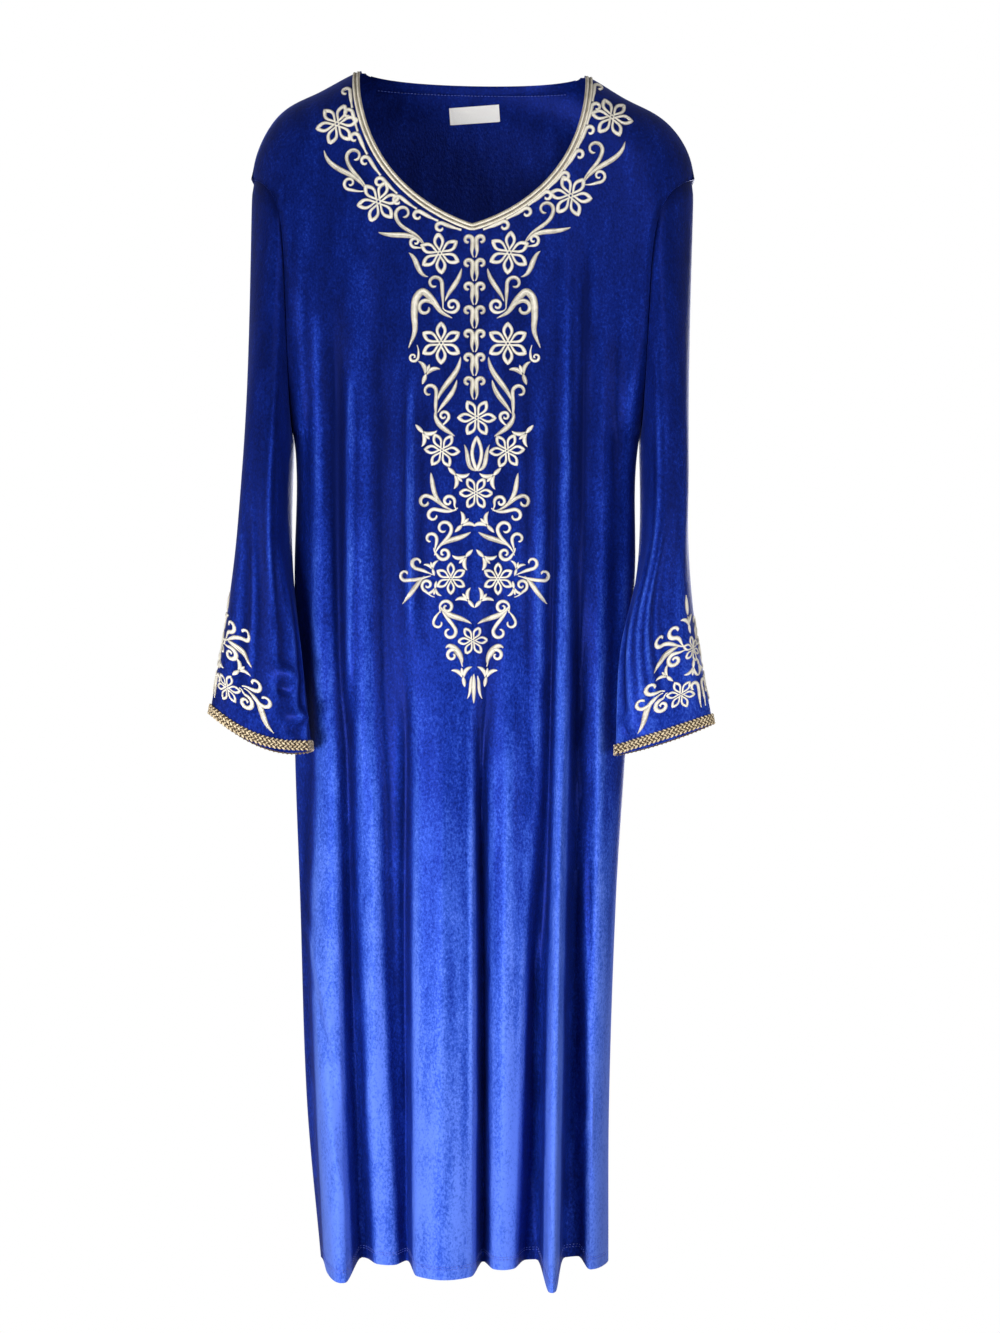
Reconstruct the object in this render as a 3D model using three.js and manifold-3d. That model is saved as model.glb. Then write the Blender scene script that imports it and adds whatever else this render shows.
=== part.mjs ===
// A long-sleeved velvet kaftan that hangs from its shoulders, hollow and open at the neck, cuffs and hem.
// It is cut as a front, a back and two sleeves, with a corded braid round the front neckline, a woven braid
// round each cuff, a facing inside the back neck and a blank label.
// Units are millimetres. X runs to the wearer's left, which is the right side seen from the front, the front
// faces -Y, and +Z is up. The origin lies between the two shoulder seams, halfway down their slope.
import * as THREE from "three";
import { mergeVertices } from "three/addons/utils/BufferGeometryUtils.js";
import Module from "manifold-3d";

const wasm = await Module();
wasm.setup();

// Cloth and seams
const CLOTH = 1.6; // velvet with its pile
const SEAM_GAP = 0.3; // between two pieces that are sewn together
const ARMHOLE_GAP = 0.5;
const TRIM_GAP = 0.8; // between a trim and the curved cloth under it

// Neck and shoulders
const NECK_HALF = 124; // from the middle to a neck point
const FRONT_NECK_DROP = 162;
const FRONT_NECK_V = 19; // how much deeper the neckline runs to its point in the middle
const BACK_NECK_DROP = 1;
const SHOULDER_HALF = 246; // from the middle to a dropped shoulder point
const SHOULDER_POINT_Z = -62;
const SHOULDER_RISE = 143.5; // half height of the ellipse that the shoulder line follows
const SHOULDER_ROUND = 70; // how far below its seam the cloth reaches its full depth
const SHOULDER_LIFT = [
  { x: 246, lift: 0 },
  { x: 215, lift: -4 },
  { x: 170, lift: -13 },
  { x: 124, lift: -7 },
  { x: 0, lift: 0 },
  { x: -124, lift: -2 },
  { x: -170, lift: -5 },
  { x: -216, lift: 4 },
  { x: -246, lift: 0 },
];

// Armholes: how far out the foot of each lies, how much further out it slants towards its top, and the
// quick turn that takes it out to the shoulder point.
const UNDERARM_Z = -345;
const ARMHOLES = {
  left: { foot: 200, slant: 7, turn: 22 },
  right: { foot: 186, slant: 12, turn: 26 },
};
const ARMHOLE_BLEND = 150; // height over which the body's round side flattens towards the armhole's edge
const ARMHOLE_HALF = { front: 50, back: 42 }; // half opening, seen from the side

// Hem
const HEM_Z = -1252;
const SIDE_DROP = { left: 8, right: 12 }; // how much lower the hem hangs at the side seams

// The body seen from above: its edges at the side seams, and how far the cloth between the folds lies
// in front of and behind the side seams.
const BODY = [
  { z: 62, left: -246, right: 246, front: 60, back: 50, seam: 0 },
  { z: -150, left: -246, right: 246, front: 62, back: 52, seam: 0 },
  { z: UNDERARM_Z, left: -200, right: 186, front: 66, back: 56, seam: 0 },
  { z: -500, left: -200, right: 181, front: 66, back: 58, seam: 6 },
  { z: -690, left: -200, right: 171, front: 62, back: 60, seam: 10 },
  { z: -860, left: -194, right: 160, front: 54, back: 64, seam: 8 },
  { z: -1080, left: -186, right: 152, front: 46, back: 70, seam: 4 },
  { z: HEM_Z, left: -170, right: 151, front: 40, back: 74, seam: 0 },
];

// Heights at which the folds are given.
const FOLD_LEVELS = [-60, -300, -690, -900, HEM_Z];

// The front's folds from left to right. Each is a ridge between two edges, which stands out from the cloth
// beside it by so much at each level, with sides that are flank wide at the hem, where it hangs by drop lower.
const FRONT_FOLDS = [
  { name: "left edge", from: [-200, -192, -176, -180, -166], to: [-165, -160, -143, -139, -129], out: [0, 4, 12, 26, 54], flank: 14, drop: 13 },
  { name: "left flat", from: [-140, -138, -131, -126, -112], to: [-104, -103, -99, -94, -76], out: [0, 5, 12, 14, 20], flank: 16, drop: 0 },
  { name: "middle", from: [-78, -76, -72, -70, -66], to: [60, 60, 46, 12, 5], out: [0, 3, 9, 24, 54], flank: 13, drop: 3 },
  { name: "right soft", from: [72, 70, 58, 36, 16], to: [96, 95, 80, 68, 52], out: [0, 3, 11, 20, 32], flank: 14, drop: 0 },
  { name: "right sharp", from: [92, 90, 86, 82, 76], to: [112, 108, 105, 101, 95], out: [0, 5, 16, 30, 66], flank: 12, drop: 15 },
  { name: "right edge", from: [150, 148, 134, 129, 122], to: [205, 200, 185, 165, 160], out: [0, 3, 8, 16, 26], flank: 12, drop: 9 },
];

// The back's folds, seen through to the front, from left to right.
const BACK_FOLDS = [
  { name: "left flute", from: [-170, -166, -162, -158, -146], to: [-130, -128, -126, -122, -110], out: [0, 3, 11, 20, 32], flank: 18, drop: 0 },
  { name: "left middle flute", from: [-98, -96, -92, -90, -84], to: [-48, -48, -50, -52, -50], out: [0, 4, 12, 22, 36], flank: 18, drop: 3 },
  { name: "middle flute", from: [-18, -18, -20, -22, -24], to: [30, 28, 22, 16, 10], out: [0, 4, 12, 22, 34], flank: 18, drop: 4 },
  { name: "right middle flute", from: [54, 54, 48, 42, 34], to: [98, 96, 84, 76, 68], out: [0, 4, 12, 22, 36], flank: 18, drop: 3 },
  { name: "right flute", from: [126, 122, 108, 102, 94], to: [166, 158, 140, 132, 126], out: [0, 3, 9, 18, 30], flank: 18, drop: 0 },
];
const CHEST_FLANK = 26; // a fold's side is this wide where the fold starts

// The sleeves: rings that each passes through between its armhole and its cuff. Depth is half of a ring from
// front to back, slant is how much its outer side lies above its middle, and skew is how far its front leans
// towards the body. A place round a ring is a share of one turn: 0 at the underarm seam, a quarter in front,
// half at the outside and three quarters behind.
const SLEEVES = {
  left: {
    side: -1,
    rings: [
      { x: -227, y: -12, z: -425, half: 26, depth: 60, slant: 52, skew: 0, sag: 0 },
      { x: -227.5, y: -32, z: -560, half: 40, depth: 43, slant: 30, skew: 4, sag: 2 },
      { x: -229.5, y: -55, z: -672, half: 55, depth: 27, slant: 20, skew: 0, sag: 7 },
    ],
  },
  right: {
    side: 1,
    rings: [
      { x: 211, y: -12, z: -425, half: 27, depth: 60, slant: 52, skew: 0, sag: 0 },
      { x: 202.5, y: -36, z: -560, half: 38, depth: 43, slant: 30, skew: 10, sag: 1 },
      { x: 208, y: -57, z: -680, half: 52.5, depth: 27, slant: 17, skew: 0, sag: 2 },
    ],
  },
};
const CUFF_BACK_DROP = 0.15; // how far the back of a cuff hangs below its front, for each unit of depth
const SLEEVE_FOLDS = [
  { name: "front crease", turn: 0.17, width: 0.06, out: 4 },
  { name: "front hollow", turn: 0.28, width: 0.06, out: -5 },
  { name: "outer ridge", turn: 0.39, width: 0.06, out: 3 },
  { name: "back hollow", turn: 0.72, width: 0.09, out: -6 },
];

// Trims
const NECK_BRAID = { width: 9.5, height: 1.6, end: 5 };
const CUFF_BRAID = { width: 11, height: 2, beyond: 1.5 };
const FACING = { width: 9, height: 0.8 };
const LABEL = { width: 57, height: 19, thickness: 0.5, x: 1, z: 28, tilt: 0.07, stand: 0.4 };

// How finely the solids are divided
const COLUMNS = { front: 60, back: 44 };
const ROUND_ROWS = 6;
const ARMHOLE_ROWS = 5;
const SKIRT_ROWS = 13;
const SLEEVE_ROWS = 12;
const HEM_SAMPLES = 600;

const clamp = (value, low, high) => Math.min(high, Math.max(low, value));
const mix = (a, b, share) => a + (b - a) * share;

function smooth(value) {
  const t = clamp(value, 0, 1);
  return t * t * (3 - 2 * t);
}

// The value at height z of a quantity that is given at falling heights, with a smooth change between them.
function alongHeight(z, heights, values) {
  if (z >= heights[0]) return values[0];
  const last = heights.length - 1;
  if (z <= heights[last]) return values[last];
  let k = 0;
  while (z < heights[k + 1]) k++;
  const slope = (i) => {
    const a = Math.max(i - 1, 0);
    const b = Math.min(i + 1, last);
    return (values[b] - values[a]) / (heights[b] - heights[a]);
  };
  const span = heights[k + 1] - heights[k];
  const t = (z - heights[k]) / span;
  const rise = t * t * (3 - 2 * t);
  const start = t * (1 - t) * (1 - t) * span * slope(k);
  const end = t * t * (t - 1) * span * slope(k + 1);
  return mix(values[k], values[k + 1], rise) + start + end;
}

const BODY_HEIGHTS = BODY.map((row) => row.z);
const bodyValue = (z, column) =>
  alongHeight(z, BODY_HEIGHTS, BODY.map((row) => row[column]));

const LIFT_PLACES = SHOULDER_LIFT.map((row) => row.x);
const LIFTS = SHOULDER_LIFT.map((row) => row.lift);
const shoulderLift = (x) => alongHeight(x, LIFT_PLACES, LIFTS);

// How far out an armhole's edge lies, from the shoulder point down to the underarm.
function armholeEdge(z, { foot, slant, turn }) {
  const below = SHOULDER_POINT_Z - z;
  const share = clamp(below / (SHOULDER_POINT_Z - UNDERARM_Z), 0, 1);
  return foot + slant * (1 - share) + (SHOULDER_HALF - foot - slant) * Math.exp(-below / turn);
}

// The edges of the cloth at a height. Beside the armholes they lie further out, where the cloth is cut away.
function bodyEdges(z) {
  const share = clamp((SHOULDER_POINT_Z - z) / (SHOULDER_POINT_Z - UNDERARM_Z), 0, 1) ** 2;
  if (z < UNDERARM_Z) return [bodyValue(z, "left"), bodyValue(z, "right")];
  return [mix(-SHOULDER_HALF, -ARMHOLES.left.foot, share), mix(SHOULDER_HALF, ARMHOLES.right.foot, share)];
}

const shoulderLine = (x) =>
  SHOULDER_POINT_Z + shoulderLift(x) + SHOULDER_RISE * Math.sqrt(Math.max(0, 1 - (x / SHOULDER_HALF) ** 2));

// How far a place on the body lies below the line over which the cloth turns from front to back.
function belowShoulder(x, z) {
  const across = Math.abs(x);
  const up = z - shoulderLift(x) - SHOULDER_POINT_Z;
  if (up <= 0) return Math.hypot(SHOULDER_HALF - across, up);
  const q = Math.hypot(across / SHOULDER_HALF, up / SHOULDER_RISE);
  const slope = Math.hypot(across / SHOULDER_HALF ** 2, up / SHOULDER_RISE ** 2) / q;
  return Math.max(0, (1 - q) / slope);
}

function neckline(x, side) {
  const share = clamp(Math.abs(x) / NECK_HALF, 0, 1);
  const top = mix(shoulderLine(-NECK_HALF), shoulderLine(NECK_HALF), (x / NECK_HALF + 1) / 2);
  if (side === "back") return top - BACK_NECK_DROP * (1 - share * share);
  return top - FRONT_NECK_DROP * (1 - share * share) ** 0.42 - FRONT_NECK_V * (1 - share) ** 2;
}

// How far the folds stand out at a place on one side of the body, how much lower they hang at the hem, and
// the share of that hang at this height.
function foldsAt(x, z, side) {
  const folds = side === "front" ? FRONT_FOLDS : BACK_FOLDS;
  const level = clamp((FOLD_LEVELS[1] - z) / (FOLD_LEVELS[1] - HEM_Z), 0, 1);
  let out = 0;
  let drop = 0;
  for (const fold of folds) {
    const from = alongHeight(z, FOLD_LEVELS, fold.from);
    const to = alongHeight(z, FOLD_LEVELS, fold.to);
    const flank = mix(CHEST_FLANK, fold.flank, Math.sqrt(level));
    const share = smooth((x - from) / flank + 0.5) - smooth((x - to) / flank + 0.5);
    out += alongHeight(z, FOLD_LEVELS, fold.out) * share;
    drop += fold.drop * share;
  }
  return { out, drop, hang: smooth((level - 0.5) * 2) };
}

// A point on the body's outer face. Across runs from -1 at the left seam to 1 at the right one.
function bodyPoint(across, z, side) {
  const sign = side === "front" ? -1 : 1;
  const [left, right] = bodyEdges(z);
  const x = mix(left, right, (across + 1) / 2);
  const depth = bodyValue(z, side);
  const inArmhole = clamp((SHOULDER_POINT_Z - z) / (SHOULDER_POINT_Z - UNDERARM_Z), 0, 1);
  const opening = z > UNDERARM_Z ? ARMHOLE_HALF[side] * Math.sqrt(1 - inArmhole ** 3) : 0;
  const below = clamp(belowShoulder(x, z) / SHOULDER_ROUND, 0, 1);
  const turn = Math.sqrt(Math.max(0, 1 - (1 - below) ** 2));
  const flat = smooth((z - UNDERARM_Z) / ARMHOLE_BLEND);
  const bow = mix(Math.sqrt(Math.max(0, 1 - across * across)), 1 - across ** 4, flat);
  const folds = foldsAt(x, z, side);
  const inward = smooth(bow * 1.6);
  const out = (opening + (depth - opening) * bow + folds.out * inward) * turn;
  const middle = z > UNDERARM_Z ? 0 : bodyValue(z, "seam");
  const drop = mix(across < 0 ? SIDE_DROP.left : SIDE_DROP.right, folds.drop, inward) * folds.hang;
  return new THREE.Vector3(x, middle + sign * (SEAM_GAP / 2 + out), z - drop);
}

// Places across the hem at equal steps of cloth, so that deep folds get as many columns as they need.
function hemPlaces(side) {
  const places = [];
  const lengths = [0];
  for (let k = 0; k <= HEM_SAMPLES; k++) places.push(Math.sin(((k / HEM_SAMPLES) - 0.5) * Math.PI));
  for (let k = 1; k <= HEM_SAMPLES; k++) {
    const step = bodyPoint(places[k], HEM_Z, side).distanceTo(bodyPoint(places[k - 1], HEM_Z, side));
    lengths.push(lengths[k - 1] + step);
  }
  return (share) => {
    const wanted = share * lengths[HEM_SAMPLES];
    let k = 1;
    while (k < HEM_SAMPLES && lengths[k] < wanted) k++;
    const part = (wanted - lengths[k - 1]) / (lengths[k] - lengths[k - 1]);
    return mix(places[k - 1], places[k], part);
  };
}

// Shares of the way from the top edge to the hem: close rows over the shoulder, then armhole, then skirt.
function rowShares() {
  const whole = SHOULDER_POINT_Z - HEM_Z;
  const armhole = SHOULDER_POINT_Z - UNDERARM_Z;
  const shares = [];
  for (let k = 0; k <= ROUND_ROWS; k++)
    shares.push((SHOULDER_ROUND * (1 - Math.cos((k / ROUND_ROWS) * (Math.PI / 2)))) / whole);
  for (let k = 1; k <= ARMHOLE_ROWS; k++)
    shares.push(mix(SHOULDER_ROUND, armhole, k / ARMHOLE_ROWS) / whole);
  for (let k = 1; k <= SKIRT_ROWS; k++) shares.push(mix(armhole, whole, k / SKIRT_ROWS) / whole);
  return shares;
}

// The two triangles of a grid's cell, as places in its rows and columns, split along its shorter diagonal.
function cellTriangles(grid, row, column) {
  const next = (column + 1) % grid[row].length;
  const [a, b, c, d] = [[row, column], [row + 1, column], [row + 1, next], [row, next]];
  const point = ([r, k]) => grid[r][k];
  const other = point(b).distanceTo(point(d)) < point(a).distanceTo(point(c));
  return other ? [[a, b, d], [b, c, d]] : [[a, b, c], [a, c, d]];
}

// A solid wall between an outer and an inner grid of points. Rows run one way and columns the other;
// a closed wall joins its last column to its first.
function wall(outer, inner, facing, closed = false) {
  const rows = outer.length;
  const columns = outer[0].length;
  const points = [...outer.flat(), ...inner.flat()];
  const at = (layer, row, column) => layer * rows * columns + row * columns + (column % columns);
  const faces = [];
  const quad = (a, b, c, d) => faces.push(a, b, c, a, c, d);
  const spans = closed ? columns : columns - 1;
  for (let r = 0; r < rows - 1; r++)
    for (let c = 0; c < spans; c++)
      for (const corners of cellTriangles(outer, r, c)) {
        faces.push(...corners.map(([row, column]) => at(0, row, column)));
        faces.push(...corners.map(([row, column]) => at(1, row, column)).reverse());
      }
  for (let c = 0; c < spans; c++) {
    quad(at(0, 0, c), at(0, 0, c + 1), at(1, 0, c + 1), at(1, 0, c));
    quad(at(0, rows - 1, c), at(1, rows - 1, c), at(1, rows - 1, c + 1), at(0, rows - 1, c + 1));
  }
  const last = columns - 1;
  for (let r = 0; !closed && r < rows - 1; r++) {
    quad(at(0, r, 0), at(1, r, 0), at(1, r + 1, 0), at(0, r + 1, 0));
    quad(at(0, r, last), at(0, r + 1, last), at(1, r + 1, last), at(1, r, last));
  }
  if (facing < 0) faces.reverse();
  const geometry = new THREE.BufferGeometry();
  geometry.setAttribute("position", new THREE.Float32BufferAttribute(points.flatMap((p) => p.toArray()), 3));
  geometry.setIndex(faces);
  geometry.computeVertexNormals();
  return geometry;
}

// The outward normal of the body's face at a place.
function bodyNormal(across, z, side) {
  const STEP = 0.002;
  const a = clamp(across, -1 + STEP, 1 - STEP);
  const sideways = bodyPoint(a + STEP, z, side).sub(bodyPoint(a - STEP, z, side));
  const down = bodyPoint(a, z - 1, side).sub(bodyPoint(a, z + 1, side));
  const normal = side === "front" ? down.cross(sideways) : sideways.cross(down);
  return normal.normalize();
}

// A panel before its neckline is cut: points on its outer and inner faces, by row and column.
function panelGrid(side) {
  const columns = COLUMNS[side];
  const TOP_CROWDING = 0.3; // how far the columns crowd towards the shoulder points at the top
  const SPREAD = 0.45; // the share of the height over which columns move to their places at the hem
  const hemPlace = hemPlaces(side);
  const outer = [];
  const inner = [];
  for (const share of rowShares()) {
    const outerRow = [];
    const innerRow = [];
    for (let c = 0; c <= columns; c++) {
      const top = mix((2 * c) / columns - 1, -Math.cos((c / columns) * Math.PI), TOP_CROWDING);
      const across = mix(top, hemPlace(c / columns), smooth(share / SPREAD));
      const z = mix(shoulderLine(top * SHOULDER_HALF), HEM_Z, share);
      const point = bodyPoint(across, z, side);
      outerRow.push(point);
      innerRow.push(edgeNormal(across, z, side, share).multiplyScalar(-CLOTH).add(point));
    }
    outer.push(outerRow);
    inner.push(innerRow);
  }
  return { outer, inner };
}

// At a seam the cloth is square to the seam's line, so that the two sewn edges face each other.
function edgeNormal(across, z, side, share) {
  const normal = bodyNormal(across, z, side);
  const onShoulder = share === 0;
  const onSide = Math.abs(across) > 1 - 1e-9 && z <= UNDERARM_Z + 1;
  if (onShoulder) {
    const x = across * SHOULDER_HALF;
    const slope = new THREE.Vector3(x / SHOULDER_HALF ** 2, 0, (z - SHOULDER_POINT_Z) / SHOULDER_RISE ** 2);
    return slope.normalize();
  }
  return onSide ? new THREE.Vector3(Math.sign(across), 0, 0) : normal;
}

const fabric = (color) => new THREE.MeshStandardMaterial({ color, roughness: 0.6, metalness: 0 });
const VELVET = fabric("#12209a");
const GOLD_BRAID = fabric("#c8b083");
const CREAM_CORD = fabric("#e6dcc2");
const LABEL_TAPE = fabric("#e9e6e4");

function piece(name, geometry, material) {
  const mesh = new THREE.Mesh(geometry, material);
  mesh.name = name;
  return mesh;
}

const grids = { front: panelGrid("front"), back: panelGrid("back") };

function solidOf(geometry) {
  const flat = new THREE.BufferGeometry().setAttribute("position", geometry.getAttribute("position"));
  flat.setIndex(geometry.index);
  const merged = mergeVertices(flat, 1e-4);
  return new wasm.Manifold(new wasm.Mesh({
    numProp: 3,
    vertProperties: merged.attributes.position.array,
    triVerts: new Uint32Array(merged.index.array),
  }));
}

function geometryOf(solid) {
  const mesh = solid.getMesh();
  const geometry = new THREE.BufferGeometry();
  geometry.setAttribute("position", new THREE.BufferAttribute(Float32Array.from(mesh.vertProperties), 3));
  geometry.setIndex([...mesh.triVerts]);
  geometry.computeVertexNormals();
  return geometry;
}

// A solid that runs right through from front to back, with a given outline in x and z.
function cutter(outline) {
  return wasm.Manifold.extrude([outline], 600).translate([0, 0, -300]).rotate([90, 0, 0]);
}

// The space above a neckline, through which the head would pass.
function neckCutter(side) {
  const STEPS = 72;
  const outline = [];
  for (let k = 0; k <= STEPS; k++) {
    const x = NECK_HALF * Math.sin((k / STEPS - 0.5) * Math.PI);
    outline.push([x, neckline(x, side)]);
  }
  return cutter([...outline, [NECK_HALF, 200], [-NECK_HALF, 200]]);
}

// An armhole's edge in x and z, from the shoulder point to the underarm, with the way out of the armhole.
function armholeCurve(side) {
  const shape = side < 0 ? ARMHOLES.left : ARMHOLES.right;
  const levels = [];
  for (let k = 0; k <= ROUND_ROWS; k++)
    levels.push(SHOULDER_POINT_Z - SHOULDER_ROUND * (1 - Math.cos((k / ROUND_ROWS) * (Math.PI / 2))));
  for (let k = 1; k <= ARMHOLE_ROWS; k++)
    levels.push(mix(SHOULDER_POINT_Z - SHOULDER_ROUND, UNDERARM_Z, k / ARMHOLE_ROWS));
  const points = levels.map((z) => new THREE.Vector3(side * armholeEdge(z, shape), 0, z));
  return points.map((point, k) => {
    const along = points[Math.min(k + 1, levels.length - 1)].clone().sub(points[Math.max(k - 1, 0)]);
    const out = new THREE.Vector3(-along.z, 0, along.x).multiplyScalar(side).normalize();
    return { point, out };
  });
}

function armholeCutter(side) {
  const FAR = 400;
  const curve = armholeCurve(side);
  const before = curve[0].point.clone().multiplyScalar(2).sub(curve[1].point);
  const outline = [before, ...curve.map(({ point }) => point)].map(({ x, z }) => [x, z]);
  outline.push([side * FAR, UNDERARM_Z], [side * FAR, before.z]);
  return cutter(side < 0 ? outline.reverse() : outline);
}

function panel(side) {
  const { outer, inner } = grids[side];
  const cloth = solidOf(wall(outer, inner, side === "front" ? 1 : -1));
  return geometryOf(cloth.subtract(neckCutter(side)).subtract(armholeCutter(-1)).subtract(armholeCutter(1)));
}

// The point on one face of a panel's own triangles that lies at x and z, moved along the cloth's normal.
function onPanel(side, face, x, z, away) {
  const { outer, [face]: grid } = grids[side];
  const area = (p, q) => (q.x - p.x) * (z - p.z) - (q.z - p.z) * (x - p.x);
  for (let r = 0; r < grid.length - 1; r++)
    for (let c = 0; c < grid[r].length - 1; c++)
      for (const corners of cellTriangles(outer, r, c)) {
        const [p, q, s] = corners.map(([row, column]) => grid[row][column]);
        const areas = [area(q, s), area(s, p), area(p, q)];
        const whole = areas[0] + areas[1] + areas[2];
        if (Math.abs(whole) < 1e-9 || areas.some((part) => part / whole < -1e-6)) continue;
        const point = new THREE.Vector3();
        [p, q, s].forEach((corner, k) => point.addScaledVector(corner, areas[k] / whole));
        return point.addScaledVector(bodyNormal(x / SHOULDER_HALF, z, side), away);
      }
  throw new Error(`no cloth at ${x}, ${z} on the ${side}`);
}

// The sleeve's edge at the armhole, from the underarm up the front, over the shoulder point and down the
// back, as pairs of points on its outer and inner faces that stand off the panels' edges by the seam's gap.
function armholeRing(side) {
  const curve = armholeCurve(side);
  const last = curve.length - 1;
  const pair = (k, panelSide) => {
    const { point, out } = curve[k];
    const { x, z } = point;
    const start = k === 0 || k === last ? point.clone() : onPanel(panelSide, "outer", x, z, 0);
    const [left, right] = bodyEdges(z);
    const across = (2 * x - left - right) / (right - left);
    const normal = k === 0 ? new THREE.Vector3(side, 0, 0) : bodyNormal(across, z, panelSide);
    normal.addScaledVector(out, -normal.dot(out)).normalize();
    start.addScaledVector(out, ARMHOLE_GAP);
    return [start, start.clone().addScaledVector(normal, -CLOTH)];
  };
  const underarm = pair(last, "front");
  underarm[0].addScaledVector(curve[last].out, -ARMHOLE_GAP).x += side * ARMHOLE_GAP;
  underarm[1].copy(underarm[0]).x += side * CLOTH;
  const pairs = [underarm];
  for (let k = last - 1; k >= 0; k--) pairs.push(pair(k, "front"));
  for (let k = 1; k < last; k++) pairs.push(pair(k, "back"));
  return pairs;
}

// A place on an oval ring of the sleeve: its inner side lies towards the body, lower than its outer side.
function ringPoint(ring, side, turn, backDrop) {
  const along = Math.cos(turn * 2 * Math.PI);
  const forward = Math.sin(turn * 2 * Math.PI);
  return new THREE.Vector3(
    ring.x - side * (ring.half * along + ring.skew * forward),
    ring.y - ring.depth * forward,
    ring.z - ring.slant * along - ring.sag * (1 - along * along) + ring.depth * forward * backDrop,
  );
}

// How far the sleeve's folds stand out, growing towards the cuff and ending before its braid.
function sleeveFolds(turn, share) {
  const grow = smooth(share / 0.5) * (1 - smooth((share - 0.82) / 0.16));
  let out = 0;
  for (const fold of SLEEVE_FOLDS) out += fold.out * Math.exp(-(((turn - fold.turn) / fold.width) ** 2));
  return out * grow;
}

// The sleeve's rings of outer points, from the armhole to the cuff. Each column is a smooth curve from its
// place on the armhole through the same place on each ring.
function sleeveRows(sleeve) {
  const armhole = armholeRing(sleeve.side);
  const count = armhole.length;
  const spans = sleeve.rings.length;
  const columns = armhole.map(([start], k) => {
    const turn = k / count;
    const rings = sleeve.rings.map((ring, r) =>
      ringPoint(ring, sleeve.side, turn, r === spans - 1 ? CUFF_BACK_DROP : 0));
    return new THREE.CatmullRomCurve3([start, ...rings], false, "centripetal");
  });
  const rows = [];
  for (let r = 0; r <= SLEEVE_ROWS; r++) {
    const t = r / SLEEVE_ROWS;
    rows.push(columns.map((column, k) => {
      const turn = (k / count) * 2 * Math.PI;
      const outward = new THREE.Vector3(-sleeve.side * Math.cos(turn), -Math.sin(turn), 0);
      return column.getPoint(t).addScaledVector(outward, sleeveFolds(k / count, t));
    }));
  }
  return { armhole, rows };
}

// Normals of a closed tube's outer points, from their neighbours.
function tubeNormals(rows, side) {
  const count = rows[0].length;
  return rows.map((row, r) => row.map((point, k) => {
    const around = row[(k + 1) % count].clone().sub(row[(k + count - 1) % count]);
    const down = rows[Math.min(r + 1, rows.length - 1)][k].clone().sub(rows[Math.max(r - 1, 0)][k]);
    return down.cross(around).multiplyScalar(side).normalize();
  }));
}

function sleeveParts(sleeve) {
  const { armhole, rows } = sleeveRows(sleeve);
  const normals = tubeNormals(rows, sleeve.side);
  const inner = rows.map((row, r) => row.map((point, k) => point.clone().addScaledVector(normals[r][k], -CLOTH)));
  inner[0] = armhole.map(([, within]) => within);
  return { outer: rows, inner, normals };
}

// The woven braid round a cuff, made from the sleeve's last points, moved out.
function cuffBraid(sleeve, parts) {
  const last = parts.outer.length - 1;
  const PROFILE = [
    { along: -1, out: 0.7 },
    { along: -0.5, out: 1 },
    { along: 0, out: 0.7 },
  ];
  const lines = { outer: [], inner: [] };
  for (const { along, out } of PROFILE) {
    const place = (k, height) => {
      const end = parts.outer[last][k];
      const down = end.clone().sub(parts.outer[last - 1][k]).normalize();
      const normal = parts.normals[last][k];
      const reach = along * CUFF_BRAID.width + CUFF_BRAID.beyond;
      return end.clone().addScaledVector(down, reach).addScaledVector(normal, TRIM_GAP + height);
    };
    lines.outer.push(parts.outer[last].map((_, k) => place(k, CUFF_BRAID.height * out)));
    lines.inner.push(parts.outer[last].map((_, k) => place(k, 0)));
  }
  return wall(lines.outer, lines.inner, sleeve.side, true);
}

// A strip that follows a neckline at a given distance below it, on the body's outer or inner face.
function neckStrip({ side, reach, steps, profile, face }) {
  const sign = face === "outer" ? 1 : -1;
  const lines = { outer: profile.map(() => []), inner: profile.map(() => []) };
  for (let k = 0; k <= steps; k++) {
    const turn = reach * Math.sin((k / steps - 0.5) * Math.PI);
    const x = NECK_HALF * Math.sin(turn);
    const step = 0.01;
    const xa = NECK_HALF * Math.sin(turn - step);
    const xb = NECK_HALF * Math.sin(turn + step);
    const run = new THREE.Vector2(xb - xa, neckline(xb, side) - neckline(xa, side)).normalize();
    profile.forEach(({ below, height }, row) => {
      const px = x + run.y * below;
      const pz = neckline(x, side) - run.x * below;
      lines.inner[row].push(onPanel(side, face, px, pz, sign * TRIM_GAP));
      lines.outer[row].push(onPanel(side, face, px, pz, sign * (TRIM_GAP + height)));
    });
  }
  const facing = (side === "front" ? 1 : -1) * sign;
  return wall(lines.outer, lines.inner, facing);
}

// Two cords side by side, couched round the front neckline from one shoulder seam to the other.
function neckBraid() {
  const { width, height, end } = NECK_BRAID;
  const edge = 0.6;
  const profile = [
    { below: edge, height: height * 0.4 },
    { below: edge + width * 0.25, height },
    { below: edge + width * 0.5, height: height * 0.5 },
    { below: edge + width * 0.75, height },
    { below: edge + width, height: height * 0.4 },
  ];
  const reach = Math.acos(end / FRONT_NECK_DROP);
  return neckStrip({ side: "front", reach, steps: 64, profile, face: "outer" });
}

// The turned edge inside the back neck.
function backFacing() {
  const { width, height } = FACING;
  const profile = [
    { below: 1.5, height },
    { below: width, height },
  ];
  return neckStrip({ side: "back", reach: 1.2, steps: 20, profile, face: "inner" });
}

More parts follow.
